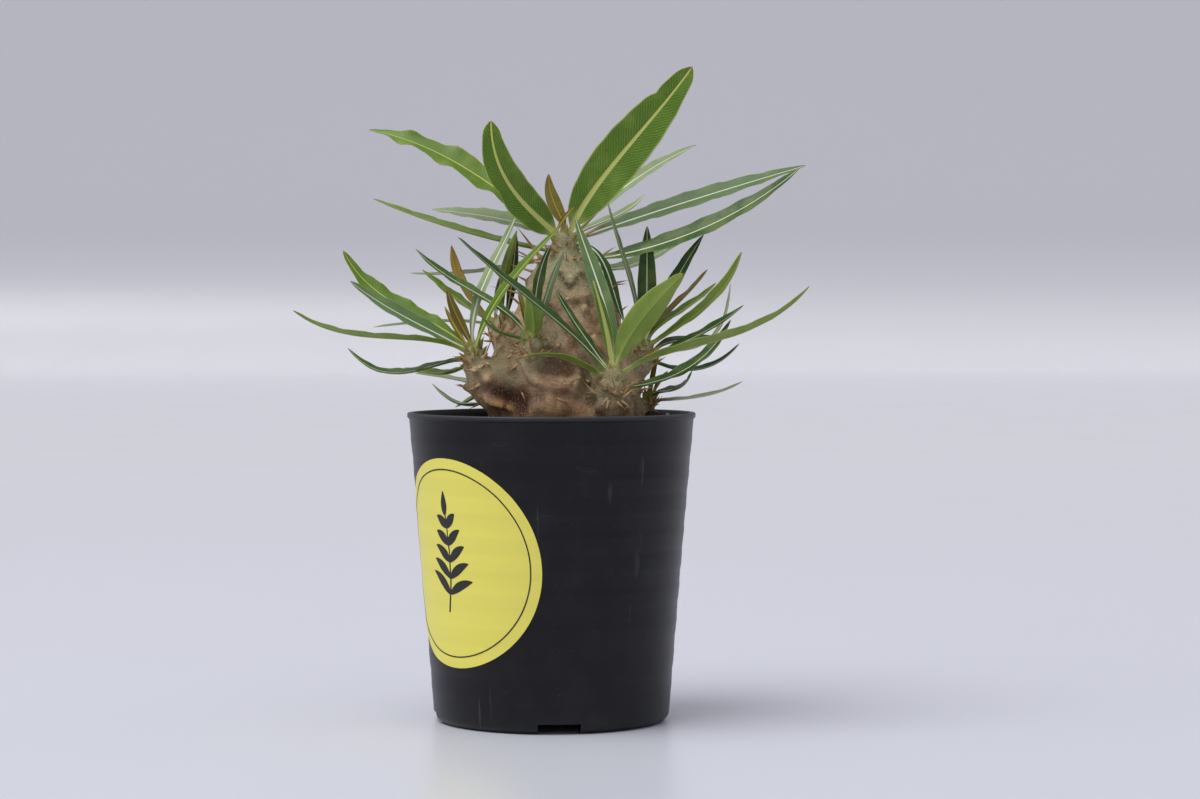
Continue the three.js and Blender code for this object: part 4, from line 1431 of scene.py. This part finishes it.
def blade_piece(name, blade, material, seed, wavy=None, thin=1.0, nick=None):
    """A closed blade with a grooved midrib above, a keel below and waving margins."""
    look = settings().leaves
    random = np.random.default_rng(seed)
    wave, pitch = wavy or (look.wave / MM * random.uniform(0.5, 1.3), random.uniform(9, 15))
    phases = random.uniform(0, 2 * math.pi, 4)
    reach = sum(np.linalg.norm(b - a) for a, b in zip(blade.controls, blade.controls[1:]))
    pace = 3 * np.linalg.norm(blade.controls[1] - blade.controls[0])
    start = -look.root / MM / pace
    x = np.linspace(0, 1, look.rings)
    spread = 0.5 * x + 0.5 * (0.5 - 0.5 * np.cos(math.pi * x))
    along = start + (1 - start) * spread
    centre, _, normal, across = blade.frames(along)
    half = blade.half(along)
    foot = 0.55 + 0.5 * np.clip((0.06 - along) / 0.1, 0, 1)
    half = np.where(along < 0.5, np.maximum(half, foot * thin), half)
    broad = np.clip((half.max() - 3.0) / 3.0, 0, 1)
    half = half * (1 + 0.45 * broad * np.exp(-(((along - 0.965) / 0.05) ** 2)))
    fold = np.interp(along, blade.places, blade.folds) * look.fold
    taper = np.sqrt(np.clip(1 - np.clip(along, 0, 1) ** 7, 0, 1))
    under = SECTION[1:-1][::-1]
    s = np.concatenate([SECTION, under])
    is_top = np.concatenate([np.ones(len(SECTION)), np.zeros(len(under))])
    face = np.where(is_top > 0, 1.0, -1.0)
    face[[0, len(SECTION) - 1]] = 0.0
    run = np.clip(along, 0, 1) * reach
    soft = (np.sqrt(s**2 + 0.02) - math.sqrt(0.02)) / (math.sqrt(1.02) - math.sqrt(0.02))
    flesh = look.thickness / MM * thin * np.sqrt(1 - abs(s) ** 8)
    points, blades, ribs = [], [], []
    for i in range(len(along) - 1):
        off = abs(s) * half[i]
        turn = 2 * math.pi * run[i] / pitch
        ripple = np.where(s < 0, math.sin(turn + phases[0]), math.sin(turn * 1.13 + phases[1]))
        fine = np.where(s < 0, math.sin(2.3 * turn + phases[2]), math.sin(2.1 * turn + phases[3]))
        rise = half[i] * math.sin(fold[i]) * soft
        rise = rise + wave * min(1.0, half[i] / 3.0) * s**2 * (ripple + 0.4 * fine)
        groove = 0.14 * np.exp(-((off / 0.45) ** 2))
        keel = 0.45 * np.exp(-((off / 0.5) ** 2)) * (1 - 0.7 * max(along[i], 0))
        swell = 0.25 * clamped(1 - (along[i] - start) * pace / 4)
        level = CAD_ROOF + rise - groove + swell
        depth = (flesh + keel * thin + 2.4 * swell) * taper[i]
        level = np.where(is_top > 0, level, level - depth)
        nip = 1 + 0.012 * math.sin(1.7 * turn + phases[2])
        sideways = s * half[i] * math.cos(fold[i]) * nip
        if nick:
            place, side, deep, length_half = nick
            bite = deep * math.exp(-(((run[i] - place * reach) / length_half) ** 2))
            sideways = sideways - side * bite * np.clip(s * side, 0, 1) ** 2
        spot = centre[i] + np.outer(sideways, across[i])
        points.append(spot + np.outer(level, normal[i]))
        blades.append(np.stack([s, np.full_like(s, along[i]), face], 1))
        ribs.append(np.stack([off, np.full_like(s, run[i]), np.full_like(s, half[i])], 1))
    rows, columns = len(points), len(s)
    tip = centre[-1][None]
    points = np.concatenate([*points, tip, points[0].mean(0)[None]])
    blades = np.concatenate([*blades, [[0, 1, 0]], [[0, 0, 0]]])
    ribs = np.concatenate([*ribs, [[0, reach, 0]], [[0, 0, 1]]])
    faces = grid_faces(rows, columns)
    last, tip_index = (rows - 1) * columns, rows * columns
    for j in range(columns):
        k = (j + 1) % columns
        faces.append((last + j, last + k, tip_index))
        faces.append((k, j, tip_index + 1))
    tone = np.full(len(points), random.uniform(-1, 1))
    made = mesh_piece(
        name, points, faces, material, attributes={"blade": blades, "ribs": ribs, "tone": tone}
    )
    tidy_normals(made.data)
    return made


def leaf_finish(name):
    """A blade's finish, which reads where on the blade a point is from the mesh's attributes."""
    *tones, width, veins = LOOKS[name]
    upper, lower, rib, margin = (rgb(*tone) for tone in tones)
    look = settings().leaves
    f = Finish(
        f"leaf_{name}", Specular_IOR_Level=0.28, Coat_Weight=look.wax, Coat_Roughness=0.28,
        Subsurface_Weight=0.08, Subsurface_Scale=0.001,
    )
    here = f.place()
    s, along, face = f.axes(f.attribute("blade"))
    off, run, _ = f.axes(f.attribute("ribs"))
    top = f.step(face, -0.2, 0.2)
    mottle = f.noise(here, 7.0, 4.0) + f.attribute("tone", "Fac") * 0.12
    fine = f.noise(here, 0.5, 4.0, 0.65)
    jitter = f.noise(here, 2.0, 2.0) + f.noise(here, 0.9, 2.0) * 0.35 - 0.17
    slope = run - off * VEIN_SLANT + (jitter - 0.5) * 1.3
    wave = (slope * (2 * math.pi / VEIN_PITCH)).sine() * 0.5 + 0.5
    wave = f.step(wave, 0.5, 0.95) * f.step(off, 0.3, 0.9)
    netting = 1 - f.step(f.cells(here, 0.7, "DISTANCE_TO_EDGE"), 0.02, 0.12)
    mid = 1 - f.step(off / (width * (1.25 - along * 0.95)), 0.55, 1.0)
    spots = f.dots(here, 5.0, 0.06, 0.12) * f.patches(here, 9.0, 0.5, 0.58)
    blade = f.mix(top, lower, upper)
    light = f.mix(0.5, blade, rgb(190, 205, 110))
    dark = f.mix(0.45, blade, rgb(26, 52, 22))
    return f.output(
        Base_Color=f.layers(
            blade,
            (f.step(mottle, 0.45, 0.75) * 0.3, light),
            ((1 - f.step(mottle, 0.25, 0.5)) * 0.35, dark),
            (netting * 0.1 * top, light),
            (wave * veins * 0.55, light),
            ((1 - f.step(along, 0.0, 0.13)) * 0.7, rgb(172, 182, 108)),
            (spots * 0.7, rgb(112, 74, 34)),
            (f.step(abs(s), 0.9, 0.985) * 0.7, margin),
            (mid * (0.35 + 0.6 * top), rib),
            (f.step(along + (fine - 0.5) * 0.02, 0.975, 0.995) * 0.6, rgb(120, 84, 46)),
        ),
        Roughness=0.36 + fine * 0.14 + (1 - top) * 0.14,
        Normal=f.bump(wave * 0.7 * veins + netting * 0.15 + fine * 0.25, 0.14, 0.6),
    )


# Young leaves too small for the CAD: name, crown, pixel of the foot, pixel of the tip,
# the tip's depth behind its foot, width, look and how far the middle bows out
YOUNG = [
    ("young_left", "left", (468, 346), (444.5, 306), 5.0, 1.7, "bronze", 0.6),
    ("young_low_a", "low_right", (650, 397), (668, 371), -4.0, 1.6, "bronze", 0.5),
    ("young_low_b", "low_right", (641, 399), (642, 377), -2.0, 1.4, "deep", 0.4),
    ("young_rear", "rear_left", (497, 318), (505, 267), -6.0, 2.2, "deep", 0.8),
    ("young_bract", "top", (558, 231), (574, 207), -3.0, 1.6, "bronze", 0.4),
]


def young_blade(crown, foot, tip, depth, width, bow):
    """A blade from a crown's surface to the point behind the tip's pixel."""
    x, y, z, size = CROWNS[crown]
    base = lift(*foot, y)
    out = (base - Vector((x, y, z))).normalized()
    base = Vector((x, y, z)) + out * (size + 0.2)
    end = lift(*tip, base.y + depth)
    chord = np.array(end - base)
    side = unit(np.cross(chord, (0.0, 1.0, 0.0)))
    lower = np.array(base) + chord / 3 + side * bow
    upper = np.array(base) + chord * 2 / 3 + side * bow
    slope = unit(chord)
    facing = np.array((0.0, -0.8, 0.6))
    normal = unit(facing - (facing @ slope) * slope)
    places = np.linspace(0.1, 0.9, 9)
    halves = width / 2 * np.sin(math.pi * places) ** WIDTH_POWER
    return Blade([base, lower, upper, end], [normal] * 9, halves, [0.3] * 9)


def build_leaf_feet(material):
    """The short green feet and scales that crowd the top of each crown."""
    random = np.random.default_rng(SEED + 2)
    store = ([], [], [])
    for x, y, z, size in CROWNS.values():
        for i in range(CROWN_FEET):
            rise = random.uniform(-0.35, 1.35)
            angle = SPIRAL * i + random.uniform(-0.3, 0.3)
            out = np.array((
                math.cos(angle) * math.cos(rise), math.sin(angle) * math.cos(rise), math.sin(rise)
            ))
            root = np.array((x, y, z)) + out * (size - 0.4)
            tip = root + unit(out + (0, 0, 0.9)) * random.uniform(1.4, 3.4)
            spine(store, root, tip, random.uniform(0.5, 0.8), 0.25, 0.5)
    points, faces, places = store
    along = np.array(places)
    zero = np.zeros_like(along)
    made = mesh_piece("leaf_feet", points, faces, material, attributes={
        "blade": np.stack([zero, along * 0.5, zero + 1], 1),
        "ribs": np.stack([zero + 0.8, along * 3, zero + 1], 1), "tone": zero,
    })
    tidy_normals(made.data)


def build_leaves():
    """A finer blade for each leaf of the CAD, then the young leaves."""
    finishes = {name: leaf_finish(name) for name in LOOKS}
    build_leaf_feet(finishes["scale"])
    tree = BVHTree.FromPolygons(*welded("caudex"))
    seed = SEED
    for crown, looks in LEAF_LOOKS.items():
        for i, look in enumerate(looks.split()):
            node = f"leaf_{crown}_{i + 1:02d}"
            seed += 1
            made = blade_piece(
                node.replace("leaf", "blade"), read_blade(node, tree), finishes[look], seed,
                WAVY.get(node), nick=NICKS.get(node),
            )
            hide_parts(node)
    for name, crown, foot, tip, depth, width, look, bow in YOUNG:
        seed += 1
        blade = young_blade(crown, foot, tip, depth, width, bow)
        made = blade_piece(name, blade, finishes[look], seed, thin=0.6)


# Stage: a pale sweep, soft lights and the camera

# The sweep, in millimetres
SWEEP_FRONT, SWEEP_BACK, SWEEP_HALF_WIDTH, SWEEP_BEND = -4000, 6000, 6000, 350
WALL_HEIGHTS = (800, 2000, 4000)

# The lights, in metres
KEY_PLACE, KEY_WAY, KEY_SIZE = (-0.3, -0.2, 1.1), (0.3, 0.2, -1.0), 1.0
SUN_WAY, SUN_ANGLE = (0.5, 0.32, -1.0), math.radians(48)
SKY = rgb(226, 226, 233)


def build_sweep():
    """The floor, which bends up into the wall behind."""
    stage = settings().stage
    rows = [(y, 0.0) for y in np.linspace(SWEEP_FRONT, SWEEP_BACK, 11)]
    for a in np.radians(np.arange(5, 91, 5)):
        rows.append((SWEEP_BACK + SWEEP_BEND * math.sin(a), SWEEP_BEND * (1 - math.cos(a))))
    rows += [(SWEEP_BACK + SWEEP_BEND, z) for z in WALL_HEIGHTS]
    columns = np.linspace(-SWEEP_HALF_WIDTH, SWEEP_HALF_WIDTH, 13)
    points = [(x, y, z) for y, z in rows for x in columns]
    faces = [tuple(reversed(q)) for q in grid_faces(len(rows), len(columns), closed=False)]
    mesh = new_mesh("sweep", points, faces)
    f = Finish("sweep_paper", Specular_IOR_Level=0.5)
    here = f.place()
    _, depth, rise = f.axes(here)
    cloud = f.noise(here, 160.0, 3.0)
    fine = f.noise(here, 2.0, 3.0)
    away = f.mix(cloud * 0.25, stage.backdrop, rgb(216, 216, 223))
    mesh.materials.append(f.output(
        Base_Color=f.layers(
            rgb(212, 214, 224), (f.step(depth, -500.0, 1800.0), away),
            (f.step(rise, 0.0, 260.0), stage.wall),
        ),
        Roughness=0.22 + cloud * 0.12 + fine * 0.06,
        Normal=f.bump(fine, 0.03, 0.3),
    ))
    linked("sweep", mesh)


def add_lamp(name, kind, way, **values):
    """A light that shines along way."""
    light = bpy.data.lights.new(name, kind)
    for key, value in values.items():
        setattr(light, key, value)
    made = linked(name, light)
    made.rotation_euler = Vector(way).to_track_quat("-Z", "Y").to_euler()
    return made


def build_stage():
    """The sweep, the lights, the sky and the photograph's camera."""
    stage = settings().stage
    scene = bpy.context.scene
    scene.view_settings.view_transform = "Standard"
    build_sweep()
    key = add_lamp("key", "AREA", KEY_WAY, shape="DISK", size=KEY_SIZE, energy=stage.key_power)
    key.location = KEY_PLACE
    add_lamp("daylight", "SUN", SUN_WAY, energy=stage.daylight, angle=SUN_ANGLE)
    world = bpy.data.worlds.new("sky")
    scene.world = world
    world.use_nodes = True
    glow = world.node_tree.nodes["Background"]
    glow.inputs["Color"].default_value = (*SKY, 1.0)
    glow.inputs["Strength"].default_value = stage.sky
    lens = bpy.data.cameras.new("camera")
    lens.lens, lens.sensor_width, lens.sensor_fit = stage.focal_length, SENSOR_WIDTH, "HORIZONTAL"
    camera = linked("camera", lens)
    camera.location = CAMERA_PLACE * MM
    camera.rotation_euler = (math.pi / 2 - CAMERA_PITCH, 0.0, 0.0)
    scene.camera = camera


# Operators, panel and registration


class PLANT_OT_stage(bpy.types.Operator):
    """Lays out the pale floor, the soft lights and the camera"""

    bl_idname = "plant.stage"
    bl_label = "Stage"

    def execute(self, context):
        build_stage()
        return {"FINISHED"}


class PLANT_OT_pot(bpy.types.Operator):
    """Builds the black nursery pot"""

    bl_idname = "plant.pot"
    bl_label = "Pot"

    def execute(self, context):
        build_pot()
        return {"FINISHED"}


class PLANT_OT_label(bpy.types.Operator):
    """Builds the yellow paper label and its print"""

    bl_idname = "plant.label"
    bl_label = "Label"

    def execute(self, context):
        build_label()
        return {"FINISHED"}


class PLANT_OT_soil(bpy.types.Operator):
    """Builds the soil and the grains that lie on it"""

    bl_idname = "plant.soil"
    bl_label = "Soil"

    def execute(self, context):
        build_soil()
        return {"FINISHED"}


class PLANT_OT_caudex(bpy.types.Operator):
    """Builds the swollen stem with its tubercles and spines"""

    bl_idname = "plant.caudex"
    bl_label = "Caudex and spines"

    def execute(self, context):
        build_caudex()
        return {"FINISHED"}


class PLANT_OT_leaves(bpy.types.Operator):
    """Builds all the leaves"""

    bl_idname = "plant.leaves"
    bl_label = "Leaves"

    def execute(self, context):
        build_leaves()
        return {"FINISHED"}


STEPS = (
    PLANT_OT_stage, PLANT_OT_pot, PLANT_OT_label, PLANT_OT_soil, PLANT_OT_caudex, PLANT_OT_leaves
)
GROUPS = ("pot", "label", "soil", "bark", "spines", "leaves", "stage")


class PLANT_PT_panel(bpy.types.Panel):
    """Sizes, colours and building steps of the plant"""

    bl_idname = "PLANT_PT_panel"
    bl_label = "Potted pachypodium"
    bl_space_type = "VIEW_3D"
    bl_region_type = "UI"
    bl_category = "Plant"

    def draw(self, context):
        for step in STEPS:
            self.layout.operator(step.bl_idname)
        for group in GROUPS:
            box = self.layout.box()
            box.label(text=group.capitalize())
            values = getattr(context.scene.plant, group)
            for key in values.bl_rna.properties.keys():
                if key not in ("rna_type", "name"):
                    box.prop(values, key)


CLASSES = (
    PotSettings, LabelSettings, SoilSettings, BarkSettings, SpineSettings, LeafSettings,
    StageSettings, PlantSettings, *STEPS, PLANT_PT_panel,
)


def register():
    for cls in CLASSES:
        bpy.utils.register_class(cls)
    bpy.types.Scene.plant = PointerProperty(type=PlantSettings)


def unregister():
    del bpy.types.Scene.plant
    for cls in reversed(CLASSES):
        bpy.utils.unregister_class(cls)


def main():
    register()
    for name in ("stage", "pot", "label", "soil", "caudex", "leaves"):
        getattr(bpy.ops.plant, name)()


if __name__ == "__main__":
    main()
